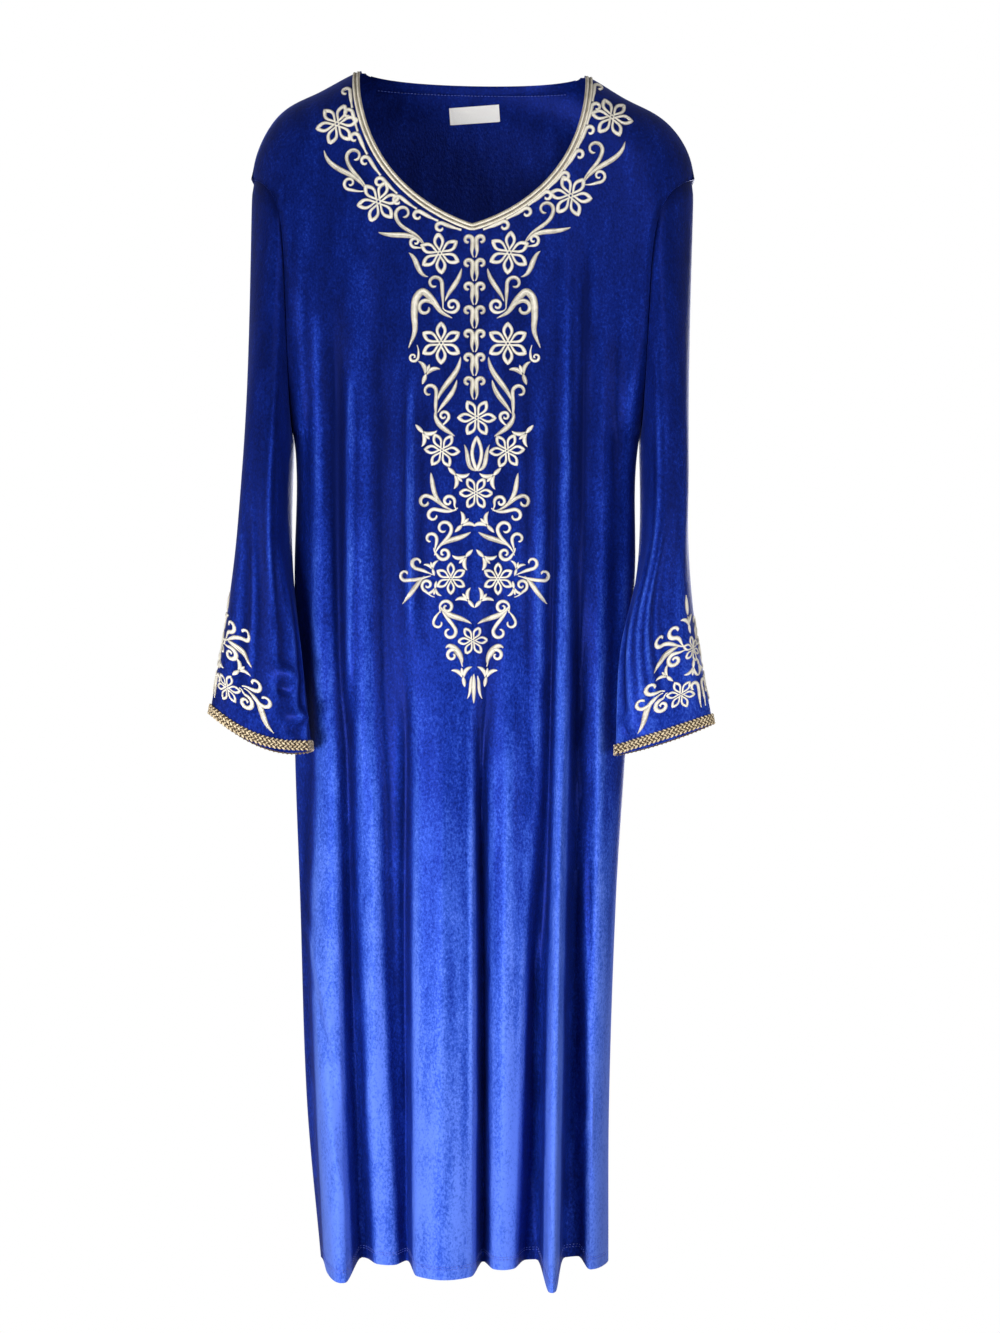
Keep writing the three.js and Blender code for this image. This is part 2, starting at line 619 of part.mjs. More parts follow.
// A blank woven label, standing just clear of the inside of the back.
function neckLabel() {
  const columns = 6;
  const outer = [[], []];
  const inner = [[], []];
  for (let c = 0; c <= columns; c++)
    for (let r = 0; r < 2; r++) {
      const along = (c / columns - 0.5) * LABEL.width;
      const up = (0.5 - r) * LABEL.height;
      const x = LABEL.x + along * Math.cos(LABEL.tilt) - up * Math.sin(LABEL.tilt);
      const z = LABEL.z + along * Math.sin(LABEL.tilt) + up * Math.cos(LABEL.tilt);
      inner[r].push(onPanel("back", "inner", x, z, -LABEL.stand));
      outer[r].push(onPanel("back", "inner", x, z, -LABEL.stand - LABEL.thickness));
    }
  return wall(outer, inner, 1);
}

const kaftan = new THREE.Group();
kaftan.add(piece("front_panel", panel("front"), VELVET));
kaftan.add(piece("back_panel", panel("back"), VELVET));
for (const [name, sleeve] of Object.entries(SLEEVES)) {
  const parts = sleeveParts(sleeve);
  kaftan.add(piece(`${name}_sleeve`, wall(parts.outer, parts.inner, sleeve.side, true), VELVET));
  kaftan.add(piece(`${name}_cuff_braid`, cuffBraid(sleeve, parts), GOLD_BRAID));
}
kaftan.add(piece("neck_braid", neckBraid(), CREAM_CORD));
kaftan.add(piece("back_neck_facing", backFacing(), VELVET));
kaftan.add(piece("neck_label", neckLabel(), LABEL_TAPE));

export default kaftan;
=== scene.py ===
"""The drawn surface of a long-sleeved velvet kaftan that hangs from its shoulders.

The kaftan is a front, a back and two sleeves of royal-blue velvet, with two cords round the front
neckline, a plait round each cuff, satin-stitch embroidery and a blank label. Shapes are worked out
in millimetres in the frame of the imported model, and turned to metres where a mesh is filled.
"""

import logging
import math
from collections.abc import Callable, Sequence
from dataclasses import dataclass
from enum import Enum

import bmesh
import bpy
import numpy as np
from mathutils import Matrix, Vector

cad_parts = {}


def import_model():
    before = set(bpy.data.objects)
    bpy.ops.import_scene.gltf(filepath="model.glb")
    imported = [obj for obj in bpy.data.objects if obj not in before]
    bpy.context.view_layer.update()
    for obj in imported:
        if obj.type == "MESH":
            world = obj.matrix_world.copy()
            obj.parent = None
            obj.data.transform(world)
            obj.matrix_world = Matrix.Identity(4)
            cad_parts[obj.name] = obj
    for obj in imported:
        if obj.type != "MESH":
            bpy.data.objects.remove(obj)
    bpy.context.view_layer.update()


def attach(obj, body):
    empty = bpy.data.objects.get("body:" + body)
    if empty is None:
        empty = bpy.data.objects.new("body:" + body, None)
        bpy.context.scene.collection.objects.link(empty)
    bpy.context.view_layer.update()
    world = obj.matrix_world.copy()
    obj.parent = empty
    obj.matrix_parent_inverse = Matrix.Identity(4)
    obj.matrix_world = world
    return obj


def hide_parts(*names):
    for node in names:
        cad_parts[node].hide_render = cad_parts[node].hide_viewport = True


LOG = logging.getLogger("kaftan")
MM = 0.001
BODY_NAME = "root"

Array = np.ndarray
Place = Callable[[Array, Array], Array]
Spot = tuple[float, float]
Levels = tuple[float, ...]
Piece = bpy.types.Object
Mesh = bpy.types.Mesh
Material = bpy.types.Material
Tree = bpy.types.NodeTree
Node = bpy.types.Node
Socket = bpy.types.NodeSocket

CLOTH = 1.6
NECK_HALF = 124.0
FRONT_NECK_DROP = 162.0
FRONT_NECK_V = 19.0
BACK_NECK_DROP = 1.0
SHOULDER_HALF = 246.0
SHOULDER_POINT_Z = -62.0
SHOULDER_RISE = 143.5
SHOULDER_ROUND = 70.0
UNDERARM_Z = -345.0
LEFT_UNDERARM = 200.0
RIGHT_UNDERARM = 186.0
HEM_Z = -1252.0
CHEST_FLANK = 26.0
ARMHOLE_BLEND = 150.0
CUFF_BACK_DROP = 0.15
CUFF_GIRTH = 262.0


class Side(Enum):
    """The two halves of the body, with the way each faces along Y."""

    FRONT = -1
    BACK = 1


def smooth(value: Array) -> Array:
    """Returns an eased share that is 0 below 0 and 1 above 1."""
    share = np.clip(value, 0.0, 1.0)
    return share * share * (3.0 - 2.0 * share)


def mix(low: Array, high: Array, share: Array) -> Array:
    """Returns the value at a share of the way from low to high."""
    return low + (high - low) * share


def along(place: Array, places: Sequence[float], values: Sequence[float]) -> Array:
    """Reads a quantity that is given at a few places, with a smooth change between them.

    Args:
        place: Where to read it.
        places: The places where it is given, in falling or rising order.
        values: Its values there.

    Returns:
        The values at place, held level beyond both ends.
    """
    knots = np.asarray(places, float)
    given = np.asarray(values, float)
    if knots[0] > knots[-1]:
        knots, given = knots[::-1], given[::-1]
    last = len(knots) - 1
    before = np.maximum(np.arange(last + 1) - 1, 0)
    after = np.minimum(np.arange(last + 1) + 1, last)
    slopes = (given[after] - given[before]) / (knots[after] - knots[before])
    at = np.clip(np.asarray(place, float), knots[0], knots[-1])
    k = np.clip(np.searchsorted(knots, at, side="right") - 1, 0, last - 1)
    span = knots[k + 1] - knots[k]
    t = (at - knots[k]) / span
    level = mix(given[k], given[k + 1], t * t * (3.0 - 2.0 * t))
    start = t * (1.0 - t) ** 2 * span * slopes[k]
    end = t * t * (t - 1.0) * span * slopes[k + 1]
    return level + start + end


def linear(code: str) -> tuple[float, float, float, float]:
    """Turns an sRGB hex colour to the linear one that a shader socket takes.

    Args:
        code: Six hex digits after a hash sign.

    Returns:
        Red, green, blue and a full alpha.
    """
    channels = [int(code[k : k + 2], 16) / 255.0 for k in (1, 3, 5)]
    turned = [c / 12.92 if c <= 0.04045 else ((c + 0.055) / 1.055) ** 2.4 for c in channels]
    return (*turned, 1.0)


def read_at(line: Array, known: Array, wanted: Array) -> Array:
    """Returns points of a line at wanted places, where known holds the place of each given point."""
    return joined(*(np.interp(wanted, known, line[:, k]) for k in range(line.shape[1])))


def joined(*values: Array) -> Array:
    """Returns points, from each of their coordinates in turn."""
    return np.stack(values, -1)


def unit(vectors: Array) -> Array:
    """Returns the vectors at a length of 1."""
    return vectors / np.linalg.norm(vectors, axis=-1, keepdims=True)


def bell(value: Array) -> Array:
    """Returns a share that is 1 at 0 and dies out to both sides within about 2."""
    return np.exp(-(value**2))


def length_of(line: Array) -> float:
    """Returns the length of a line."""
    return float(np.sum(np.linalg.norm(np.diff(line, axis=0), axis=1)))


def lengths_up_to(line: Array) -> Array:
    """Returns the length of a line up to each of its points."""
    steps = np.linalg.norm(np.diff(line, axis=0), axis=1)
    return np.concatenate([[0.0], np.cumsum(steps)])


def shares_of(line: Array) -> Array:
    """Returns the share of a line's length up to each of its points."""
    lengths = lengths_up_to(line)
    return lengths / lengths[-1]


@dataclass(frozen=True)
class Fold:
    """A ridge of cloth between two edges, given at the fold levels.

    Attributes:
        start: X of its left edge at each level.
        end: X of its right edge at each level.
        out: How far it stands out at each level.
        flank: Width of its sides at the hem.
        drop: How much lower it hangs at the hem.
    """

    start: Levels
    end: Levels
    out: Levels
    flank: float
    drop: float


@dataclass(frozen=True)
class Crease:
    """A narrow soft ridge or hollow along a straight line on the cloth.

    Attributes:
        top: X and Z of its upper end.
        foot: X and Z of its lower end.
        width: Distance over which it falls off to either side.
        out: How far it stands out, or in where it is negative.
    """

    top: Spot
    foot: Spot
    width: float
    out: float

    def height(self, x: Array, z: Array) -> Array:
        """Moves the cloth along the crease.

        Args:
            x: X of each place.
            z: Height of each place.

        Returns:
            The move outwards at each place.
        """
        share = (self.top[1] - z) / (self.top[1] - self.foot[1])
        middle = mix(self.top[0], self.foot[0], np.clip(share, 0.0, 1.0))
        ends = smooth(share / 0.25) * smooth((1.0 - share) / 0.3)
        return self.out * ends * bell((x - middle) / self.width)


# Heights at which each fold's edges and reach are given.
FOLD_LEVELS = (-60, -300, -690, -900, HEM_Z)
FRONT_FOLDS = (
    Fold((-200, -192, -176, -180, -166), (-165, -160, -143, -139, -129), (0, 4, 12, 26, 54), 14, 13),
    Fold((-140, -138, -131, -126, -112), (-104, -103, -99, -94, -76), (0, 5, 12, 14, 20), 16, 0),
    Fold((-78, -76, -72, -70, -66), (40, 30, 4, 6, 6), (0, 3, 11, 26, 54), 13, 3),
    Fold((60, 50, 18, 17, 16), (96, 92, 76, 64, 52), (0, 3, 10, 19, 32), 14, 0),
    Fold((92, 90, 86, 82, 76), (112, 108, 105, 101, 95), (0, 5, 16, 30, 66), 12, 15),
    Fold((150, 148, 134, 129, 122), (205, 200, 185, 165, 160), (0, 3, 8, 16, 26), 12, 9),
)
BACK_FOLDS = (
    Fold((-170, -166, -162, -158, -146), (-130, -128, -126, -122, -110), (0, 3, 11, 20, 32), 18, 0),
    Fold((-98, -96, -92, -90, -84), (-48, -48, -50, -52, -50), (0, 4, 12, 22, 36), 18, 3),
    Fold((-18, -18, -20, -22, -24), (30, 28, 22, 16, 10), (0, 4, 12, 22, 34), 18, 4),
    Fold((54, 54, 48, 42, 34), (98, 96, 84, 76, 68), (0, 4, 12, 22, 36), 18, 3),
    Fold((126, 122, 108, 102, 94), (166, 158, 140, 132, 126), (0, 3, 9, 18, 30), 18, 0),
)
FRONT_CREASES = (
    Crease((-186, -120), (-190, -560), 6, 3.0),
    Crease((-168, -150), (-172, -720), 7, 4.0),
    Crease((-148, -160), (-148, -760), 7, -4.0),
    Crease((-132, -250), (-136, -700), 5, 8.0),
    Crease((-100, -150), (-104, -860), 12, -5.0),
    Crease((-66, -270), (-68, -580), 4.5, 8.0),
    Crease((-50, -260), (-54, -600), 5, -3.0),
    Crease((-140, -560), (-134, -1240), 7, -4.0),
    Crease((-100, -600), (-112, -1200), 9, 4.0),
    Crease((-70, -560), (-70, -1260), 7, -8.0),
    Crease((-30, -640), (-34, -1240), 12, 4.0),
    Crease((0, -640), (4, -1180), 4, 3.0),
    Crease((10, -640), (11, -1260), 5, -9.0),
    Crease((68, -860), (64, -1260), 6, -10.0),
    Crease((120, -430), (109, -1300), 8, -13.0),
    Crease((40, -600), (34, -1230), 9, 4.0),
    Crease((58, -230), (60, -640), 6, -3.0),
    Crease((74, -250), (70, -900), 7, 4.0),
    Crease((90, -160), (84, -1150), 7, -4.0),
    Crease((104, -120), (103, -900), 4, 3.0),
    Crease((124, -120), (120, -520), 6, -5.0),
    Crease((142, -170), (136, -1000), 6, 3.5),
    Crease((160, -170), (150, -800), 7, -4.0),
    Crease((176, -200), (166, -700), 6, 3.0),
    Crease((-192, -860), (-150, -1010), 5, 4.0),
    Crease((-178, -920), (-142, -1080), 5, -4.0),
    Crease((-172, -1020), (-128, -1200), 6, 3.0),
    Crease((120, -760), (132, -1180), 4, 4.0),
    Crease((130, -1080), (108, -1180), 4, 3.0),
)
BACK_CREASES = (
    Crease((-150, -160), (-150, -900), 10, 3.0),
    Crease((-110, -200), (-112, -1000), 9, -3.0),
    Crease((-70, -120), (-74, -800), 9, 3.0),
    Crease((-34, -180), (-36, -1100), 10, -3.0),
    Crease((40, -180), (36, -1100), 10, -3.0),
    Crease((76, -120), (66, -800), 9, 3.0),
    Crease((112, -200), (96, -1000), 9, -3.0),
    Crease((150, -160), (130, -900), 10, 3.0),
)


@dataclass(frozen=True)
class Body:
    """The shape of the front and back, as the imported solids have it, with finer creases.

    Attributes:
        heights: Heights at which the next four columns are given.
        left: X of the left side seam.
        right: X of the right side seam.
        front: How far the front's flat cloth lies before the seams.
        back: How far the back's flat cloth lies behind them.
        seam: Y of the side seams.
        lift_places: X of the places where the shoulder line lies off its arc.
        lifts: How far it lies above the arc at each of them.
        front_armhole: How far before the shoulder seam the front's armhole stands at its widest.
        back_armhole: How far behind it the back's one does.
        groove: Depth of the groove along a sewn armhole.
        groove_reach: Distance over which that groove dies out.
        left_hang: How much lower the hem hangs at the left side seam.
        right_hang: How much lower it hangs at the right one.
        parted: Half the gap between front and back at a seam.
    """

    heights: Levels = (62, -150, UNDERARM_Z, -500, -690, -860, -1080, HEM_Z)
    left: Levels = (-246, -246, -200, -200, -200, -194, -186, -170)
    right: Levels = (246, 246, 186, 181, 171, 160, 152, 151)
    front: Levels = (60, 62, 66, 66, 62, 54, 46, 40)
    back: Levels = (50, 52, 56, 58, 60, 64, 70, 74)
    seam: Levels = (0, 0, 0, 6, 10, 8, 4, 0)
    lift_places: Levels = (246, 215, 170, 124, 0, -124, -170, -216, -246)
    lifts: Levels = (0, -4, -13, -7, 0, -2, -5, 4, 0)
    front_armhole: float = 50.0
    back_armhole: float = 42.0
    groove: float = 2.6
    groove_reach: float = 3.6
    left_hang: float = 8.0
    right_hang: float = 12.0
    parted: float = 0.05

    def armhole_share(self, z: Array) -> Array:
        """Returns the share of the way from the shoulder point down to the underarm."""
        return np.clip((SHOULDER_POINT_Z - z) / (SHOULDER_POINT_Z - UNDERARM_Z), 0.0, 1.0)

    def armhole_edge(self, z: Array, side: int) -> Array:
        """Finds the edge of an armhole.

        Args:
            z: Height of each place.
            side: -1 for the left armhole and 1 for the right one.

        Returns:
            How far from the body's middle the edge lies at each height.
        """
        foot, slant, turn = (LEFT_UNDERARM, 7.0, 22.0) if side < 0 else (RIGHT_UNDERARM, 12.0, 26.0)
        quick = (SHOULDER_HALF - foot - slant) * np.exp(-(SHOULDER_POINT_Z - z) / turn)
        return foot + slant * (1.0 - self.armhole_share(z)) + quick

    def edges(self, z: Array) -> tuple[Array, Array]:
        """Finds the edges of the uncut cloth.

        Args:
            z: Height of each place.

        Returns:
            X of the left edge and of the right one at each height.
        """
        share = smooth(self.armhole_share(z))
        low = z < UNDERARM_Z
        left = mix(-SHOULDER_HALF, -LEFT_UNDERARM, share)
        right = mix(SHOULDER_HALF, RIGHT_UNDERARM, share)
        left = np.where(low, along(z, self.heights, self.left), left)
        right = np.where(low, along(z, self.heights, self.right), right)
        return left, right

    def x_at(self, across: Array, z: Array) -> Array:
        """Returns X of places between the left edge (-1) and the right one (1)."""
        left, right = self.edges(z)
        return mix(left, right, (across + 1.0) / 2.0)

    def shoulder_line(self, x: Array) -> Array:
        """Returns the height of the shoulder seam."""
        round_part = np.sqrt(np.maximum(0.0, 1.0 - (x / SHOULDER_HALF) ** 2))
        return SHOULDER_POINT_Z + along(x, self.lift_places, self.lifts) + SHOULDER_RISE * round_part

    def below_shoulder(self, x: Array, z: Array) -> Array:
        """Measures down from the line over which front turns to back.

        Args:
            x: X of each place.
            z: Height of each place.

        Returns:
            The distance of each place from that line.
        """
        across = np.abs(x)
        up = z - along(x, self.lift_places, self.lifts) - SHOULDER_POINT_Z
        q = np.maximum(np.hypot(across / SHOULDER_HALF, up / SHOULDER_RISE), 1e-6)
        slope = np.hypot(across / SHOULDER_HALF**2, up / SHOULDER_RISE**2) / q
        inside = np.maximum(0.0, (1.0 - q) / np.maximum(slope, 1e-6))
        return np.where(up <= 0.0, np.hypot(SHOULDER_HALF - across, up), inside)

    def neckline(self, x: Array, side: Side) -> Array:
        """Finds the neckline's edge.

        Args:
            x: X of each place.
            side: Which half of the body.

        Returns:
            Its height at each place.
        """
        share = np.clip(np.abs(x) / NECK_HALF, 0.0, 1.0)
        left, right = self.shoulder_line(np.array([-NECK_HALF, NECK_HALF]))
        top = mix(left, right, (x / NECK_HALF + 1.0) / 2.0)
        if side is Side.BACK:
            return top - BACK_NECK_DROP * (1.0 - share**2)
        return top - FRONT_NECK_DROP * (1.0 - share**2) ** 0.42 - FRONT_NECK_V * (1.0 - share) ** 2

    def folds(self, x: Array, z: Array, side: Side) -> tuple[Array, Array, Array]:
        """Adds up the large folds.

        Args:
            x: X of each place.
            z: Height of each place.
            side: Which half of the body.

        Returns:
            How far they stand out, how much lower they hang at the hem, and the share of that hang.
        """
        level = np.clip((FOLD_LEVELS[1] - z) / (FOLD_LEVELS[1] - HEM_Z), 0.0, 1.0)
        out = np.zeros_like(x)
        drop = np.zeros_like(x)
        for fold in FRONT_FOLDS if side is Side.FRONT else BACK_FOLDS:
            start = along(z, FOLD_LEVELS, fold.start)
            end = along(z, FOLD_LEVELS, fold.end)
            flank = mix(CHEST_FLANK, fold.flank, np.sqrt(level))
            share = smooth((x - start) / flank + 0.5) - smooth((x - end) / flank + 0.5)
            beside = np.clip((x - (start + end) / 2.0) / np.maximum(end - start, 1.0), -0.6, 0.6)
            out += along(z, FOLD_LEVELS, fold.out) * share * (1.0 - 1.3 * beside**2)
            drop += fold.drop * share
        return out, drop, smooth((level - 0.5) * 2.0)

    def creases(self, x: Array, z: Array, side: Side) -> Array:
        """Adds up the small creases and the sewn grooves.

        Args:
            x: X of each place.
            z: Height of each place.
            side: Which half of the body.

        Returns:
            The move outwards at each place.
        """
        lines = FRONT_CREASES if side is Side.FRONT else BACK_CREASES
        out = sum(crease.height(x, z) for crease in lines)
        for hand in (-1, 1):
            beside = np.abs(x - hand * self.armhole_edge(z, hand))
            out = out - self.groove * bell(beside / self.groove_reach) * (z > UNDERARM_Z)
        return out

    def painted_light_and_shade(self, x: Array, z: Array, side: Side) -> Array:
        """Works out how far a place stands above its surroundings, which the velvet paints as shade in a
        hollow and as a highlight on a ridge.

        Args:
            x: X of each place.
            z: Height of each place.
            side: Which half of the body.

        Returns:
            From -1 in a hollow to 1 on a ridge.
        """

        def level(at: Array) -> Array:
            """Returns how far the cloth stands out there."""
            return self.folds(at, z, side)[0] + self.creases(at, z, side)

        def rise(reach: float) -> Array:
            """Returns how far the place stands above the mean of those beside it."""
            return level(x) - (level(x - reach) + level(x + reach)) / 2.0

        crease_reach, fold_reach = 8.0, 26.0
        crease_full, fold_full = 6.0, 26.0
        return np.clip(rise(crease_reach) / crease_full + rise(fold_reach) / fold_full, -1.0, 1.0)

    def point(self, across: Array, z: Array, side: Side) -> Array:
        """Finds places on the outer face of the cloth.

        Args:
            across: From -1 at the left edge to 1 at the right one.
            z: Height before the hem's hang.
            side: Which half of the body.

        Returns:
            An array of points, in millimetres.
        """
        x = self.x_at(across, z)
        depth = along(z, self.heights, self.front if side is Side.FRONT else self.back)
        half = self.front_armhole if side is Side.FRONT else self.back_armhole
        share = self.armhole_share(z)
        at_seam = smooth((np.abs(across) - 0.7) / 0.3)
        parting = mix(1.0 - share**4 * (5.0 - 4.0 * share), np.sqrt(1.0 - share**3), at_seam)
        opening = np.where(z > UNDERARM_Z, half * parting, 0.0)
        below = np.clip(self.below_shoulder(x, z) / SHOULDER_ROUND, 0.0, 1.0)
        turn = np.sqrt(np.maximum(0.0, 1.0 - (1.0 - below) ** 2))
        flat = smooth((z - UNDERARM_Z) / ARMHOLE_BLEND)
        bow = mix(np.sqrt(np.maximum(0.0, 1.0 - across**2)), 1.0 - across**4, flat)
        out, drop, hang = self.folds(x, z, side)
        inward = smooth(bow * 1.6)
        out = opening + (depth - opening) * bow + (out + self.creases(x, z, side)) * inward
        middle = np.where(z > UNDERARM_Z, 0.0, along(z, self.heights, self.seam))
        drop = mix(np.where(across < 0.0, self.left_hang, self.right_hang), drop, inward) * hang
        return joined(x, middle + side.value * (self.parted + out * turn), z - drop)

    def at(self, x: Array, z: Array, side: Side) -> Array:
        """Returns the points of the cloth's outer face at given x and z, above the hem's hang."""
        left, right = self.edges(z)
        return self.point(np.clip((2.0 * x - left - right) / (right - left), -1.0, 1.0), z, side)

    def lay(self, x: Array, z: Array, height: Array, side: Side = Side.FRONT) -> Array:
        """Finds places at a height off the cloth's outer face.

        Args:
            x: X of each place.
            z: Height of each place.
            height: How far off the face each point lies.
            side: Which half of the body.

        Returns:
            An array of points, in millimetres.
        """
        step = 1.0
        here = self.at(x, z, side)
        sideways = self.at(x + step, z, side) - self.at(x - step, z, side)
        down = self.at(x, z - step, side) - self.at(x, z + step, side)
        normal = unit(np.cross(down, sideways) * -side.value)
        return here + normal * np.asarray(height)[..., None]


BODY = Body()


@dataclass(frozen=True)
class Ring:
    """An oval ring that a sleeve passes through.

    Attributes:
        x, y, z: Its middle.
        half: Half its width.
        depth: Half its depth from front to back.
        slant: How much its outer side lies above its middle.
        skew: How far its front leans towards the body.
        sag: How far its front and back hang.
    """

    x: float
    y: float
    z: float
    half: float
    depth: float
    slant: float
    skew: float
    sag: float


@dataclass(frozen=True)
class TubeFold:
    """A soft lengthwise fold of a sleeve.

    Attributes:
        turn: Its place round the sleeve at the cuff, as a share of a turn from the underarm forwards.
        width: Its width, as a share of a turn.
        out: How far it stands out.
        start: The share of the sleeve's length where it begins.
        end: The share of the length where it has died out.
        lean: How much its place changes from the armhole to the cuff.
    """

    turn: float
    width: float
    out: float
    start: float = 0.0
    end: float = 1.0
    lean: float = 0.0

    def height(self, turn: Array, share: Array) -> Array:
        """Moves the cloth along the fold.

        Args:
            turn: Share of a turn round it.
            share: Share of its length.

        Returns:
            The move outwards at each place.
        """
        middle = self.turn - self.lean * (1.0 - share)
        grow = smooth((share - self.start) / 0.3) * smooth((self.end - share) / 0.16)
        return self.out * grow * bell((turn - middle) / self.width)


@dataclass(frozen=True)
class Bump:
    """A crumple of a sleeve, as a round rise or dent.

    Attributes:
        turn: Its place round the sleeve.
        share: Its place along the sleeve.
        width: Its width, as a share of a turn.
        length: Its length, as a share of the sleeve's length.
        out: How far it stands out.
    """

    turn: float
    share: float
    width: float
    length: float
    out: float

    def height(self, turn: Array, share: Array) -> Array:
        """Returns how far the crumple moves the cloth at each place."""
        far = ((turn - self.turn) / self.width) ** 2 + ((share - self.share) / self.length) ** 2
        return self.out * np.exp(-far)


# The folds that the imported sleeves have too: turn, width and how far out.
MAIN_SLEEVE_FOLDS = ((0.17, 0.06, 4), (0.28, 0.06, -5), (0.39, 0.06, 3), (0.72, 0.09, -6))
SLEEVE_SPANS = 3
SEAM_SHARE = 0.011
SEAM_DEPTH = 2.2


@dataclass(frozen=True)
class Sleeve:
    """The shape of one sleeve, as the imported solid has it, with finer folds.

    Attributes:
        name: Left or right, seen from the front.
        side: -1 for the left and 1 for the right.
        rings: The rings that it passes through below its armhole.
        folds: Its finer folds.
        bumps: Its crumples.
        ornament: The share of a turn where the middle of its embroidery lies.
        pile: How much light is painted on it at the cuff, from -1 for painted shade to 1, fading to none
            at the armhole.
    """

    name: str
    side: int
    rings: tuple[Ring, ...]
    folds: tuple[TubeFold, ...]
    bumps: tuple[Bump, ...]
    ornament: float
    pile: float

    def armhole(self, turn: Array) -> Array:
        """Finds the armhole's edge.

        Args:
            turn: Share of the way from the underarm, up the front and down the back.

        Returns:
            An array of points, in millimetres.
        """
        round_rows, steps = 6, 11
        levels = [
            SHOULDER_POINT_Z - SHOULDER_ROUND * (1.0 - math.cos(k / round_rows * math.pi / 2.0))
            for k in range(round_rows + 1)
        ]
        floor = SHOULDER_POINT_Z - SHOULDER_ROUND
        levels += [mix(floor, UNDERARM_Z, k / 5.0) for k in range(1, 6)]
        z = along(np.abs(turn - 0.5) * 2.0 * steps, range(steps + 1), levels)
        x = self.side * BODY.armhole_edge(z, self.side)
        front = BODY.at(x, z, Side.FRONT)
        back = BODY.at(x, z, Side.BACK)
        return np.where((turn < 0.5)[..., None], front, back)

    def ring_points(self, ring: Ring, turn: Array, back_drop: float) -> Array:
        """Finds the points of a ring.

        Args:
            ring: The ring.
            turn: Share of a turn round it.
            back_drop: How much lower its back hangs, as a share of its depth.

        Returns:
            An array of points, in millimetres.
        """
        level = np.cos(turn * 2.0 * math.pi)
        forward = np.sin(turn * 2.0 * math.pi)
        x = ring.x - self.side * (ring.half * level + ring.skew * forward)
        y = ring.y - ring.depth * forward
        hang = ring.slant * level + ring.sag * (1.0 - level**2)
        return joined(x, y, ring.z - hang + ring.depth * forward * back_drop)

    def point(self, turn: Array, share: Array) -> Array:
        """Finds places on the sleeve's outer face.

        Args:
            turn: Share of a turn round it: 0 at the underarm, a quarter in front, half outside.
            share: Share of its length, from the armhole to the cuff.

        Returns:
            An array of points, in millimetres.
        """
        turn, share = np.broadcast_arrays(np.asarray(turn, float) % 1.0, np.asarray(share, float))
        drops = (0.0, 0.0, CUFF_BACK_DROP)
        stops = [self.armhole(turn)]
        stops += [self.ring_points(ring, turn, drop) for ring, drop in zip(self.rings, drops)]
        stops = [2.0 * stops[0] - stops[1], *stops, 2.0 * stops[-1] - stops[-2]]
        reach = share * SLEEVE_SPANS
        span = np.clip(np.floor(reach), 0, SLEEVE_SPANS - 1)
        curve = sum(
            span_curve(*stops[k : k + 4], reach - k) * (span == k)[..., None]
            for k in range(SLEEVE_SPANS)
        )
        angle = turn * 2.0 * math.pi
        outward = joined(-self.side * np.cos(angle), -np.sin(angle), np.zeros_like(angle))
        return curve + outward * self.relief(turn, share)[..., None]

    def relief(self, turn: Array, share: Array) -> Array:
        """Adds up the folds, the crumples and the sewn edge.

        Args:
            turn: Share of a turn round it.
            share: Share of its length.

        Returns:
            The move outwards at each place.
        """
        grow = smooth(share / 0.5) * (1.0 - smooth((share - 0.82) / 0.16))
        out = sum(high * bell((turn - at) / width) for at, width, high in MAIN_SLEEVE_FOLDS)
        out = out * grow + sum(part.height(turn, share) for part in self.folds + self.bumps)
        return out - SEAM_DEPTH * bell(share / SEAM_SHARE)

    def painted_light_and_shade(self, turn: Array, share: Array) -> Array:
        """Works out how far a place stands above its surroundings, which the velvet paints as shade in a
        hollow and as a highlight on a ridge, with painted shade along the sewn edge and painted light
        towards the cuff where pile is positive, painted shade where it is negative.

        Args:
            turn: Share of a turn round it.
            share: Share of its length.

        Returns:
            From -1 in a hollow to 1 on a ridge.
        """
        reach = 0.022
        beside = (self.relief(turn - reach, share) + self.relief(turn + reach, share)) / 2.0
        full = 3.0
        # The sewn edge gets painted shade, and pile paints light towards the cuff, and shade where it is
        # negative.
        seam = bell(share / SEAM_SHARE)
        return np.clip((self.relief(turn, share) - beside) / full - seam + self.pile * share, -1.0, 1.0)

    def frame_at(self, turn: Array, share: Array) -> tuple[Array, Array, Array]:
        """Finds places on the sleeve with the cloth's own directions.

        Args:
            turn: Share of a turn round it.
            share: Share of its length.

        Returns:
            The points, the ways round the sleeve, and the ways down and out as a pair.
        """
        step = 0.004
        here = self.point(turn, share)
        around = unit(self.point(turn + step, share) - self.point(turn - step, share))
        low, high = np.minimum(share + step, 1.0), share - step
        down = unit(self.point(turn, low) - self.point(turn, high))
        normal = unit(np.cross(down, around) * self.side)
        return here, around, np.stack([down, normal])


def span_curve(before: Array, start: Array, end: Array, after: Array, t: Array) -> Array:
    """Follows a centripetal curve between two of four points.

    Args:
        before: The point before its start.
        start: Its start.
        end: Its end.
        after: The point after its end.
        t: Share of the way from start to end.

    Returns:
        The points of the curve.
    """

    def step(a: Array, b: Array) -> Array:
        """Returns the root of the distance between two points."""
        return np.maximum(np.linalg.norm(b - a, axis=-1, keepdims=True), 1e-6) ** 0.5

    d0, d1, d2 = step(before, start), step(start, end), step(end, after)
    leave = ((start - before) / d0 - (end - before) / (d0 + d1) + (end - start) / d1) * d1
    arrive = ((end - start) / d1 - (after - start) / (d1 + d2) + (after - end) / d2) * d1
    t = t[..., None]
    cubic = -3.0 * start + 3.0 * end - 2.0 * leave - arrive
    quartic = 2.0 * start - 2.0 * end + leave + arrive
    return start + leave * t + cubic * t**2 + quartic * t**3


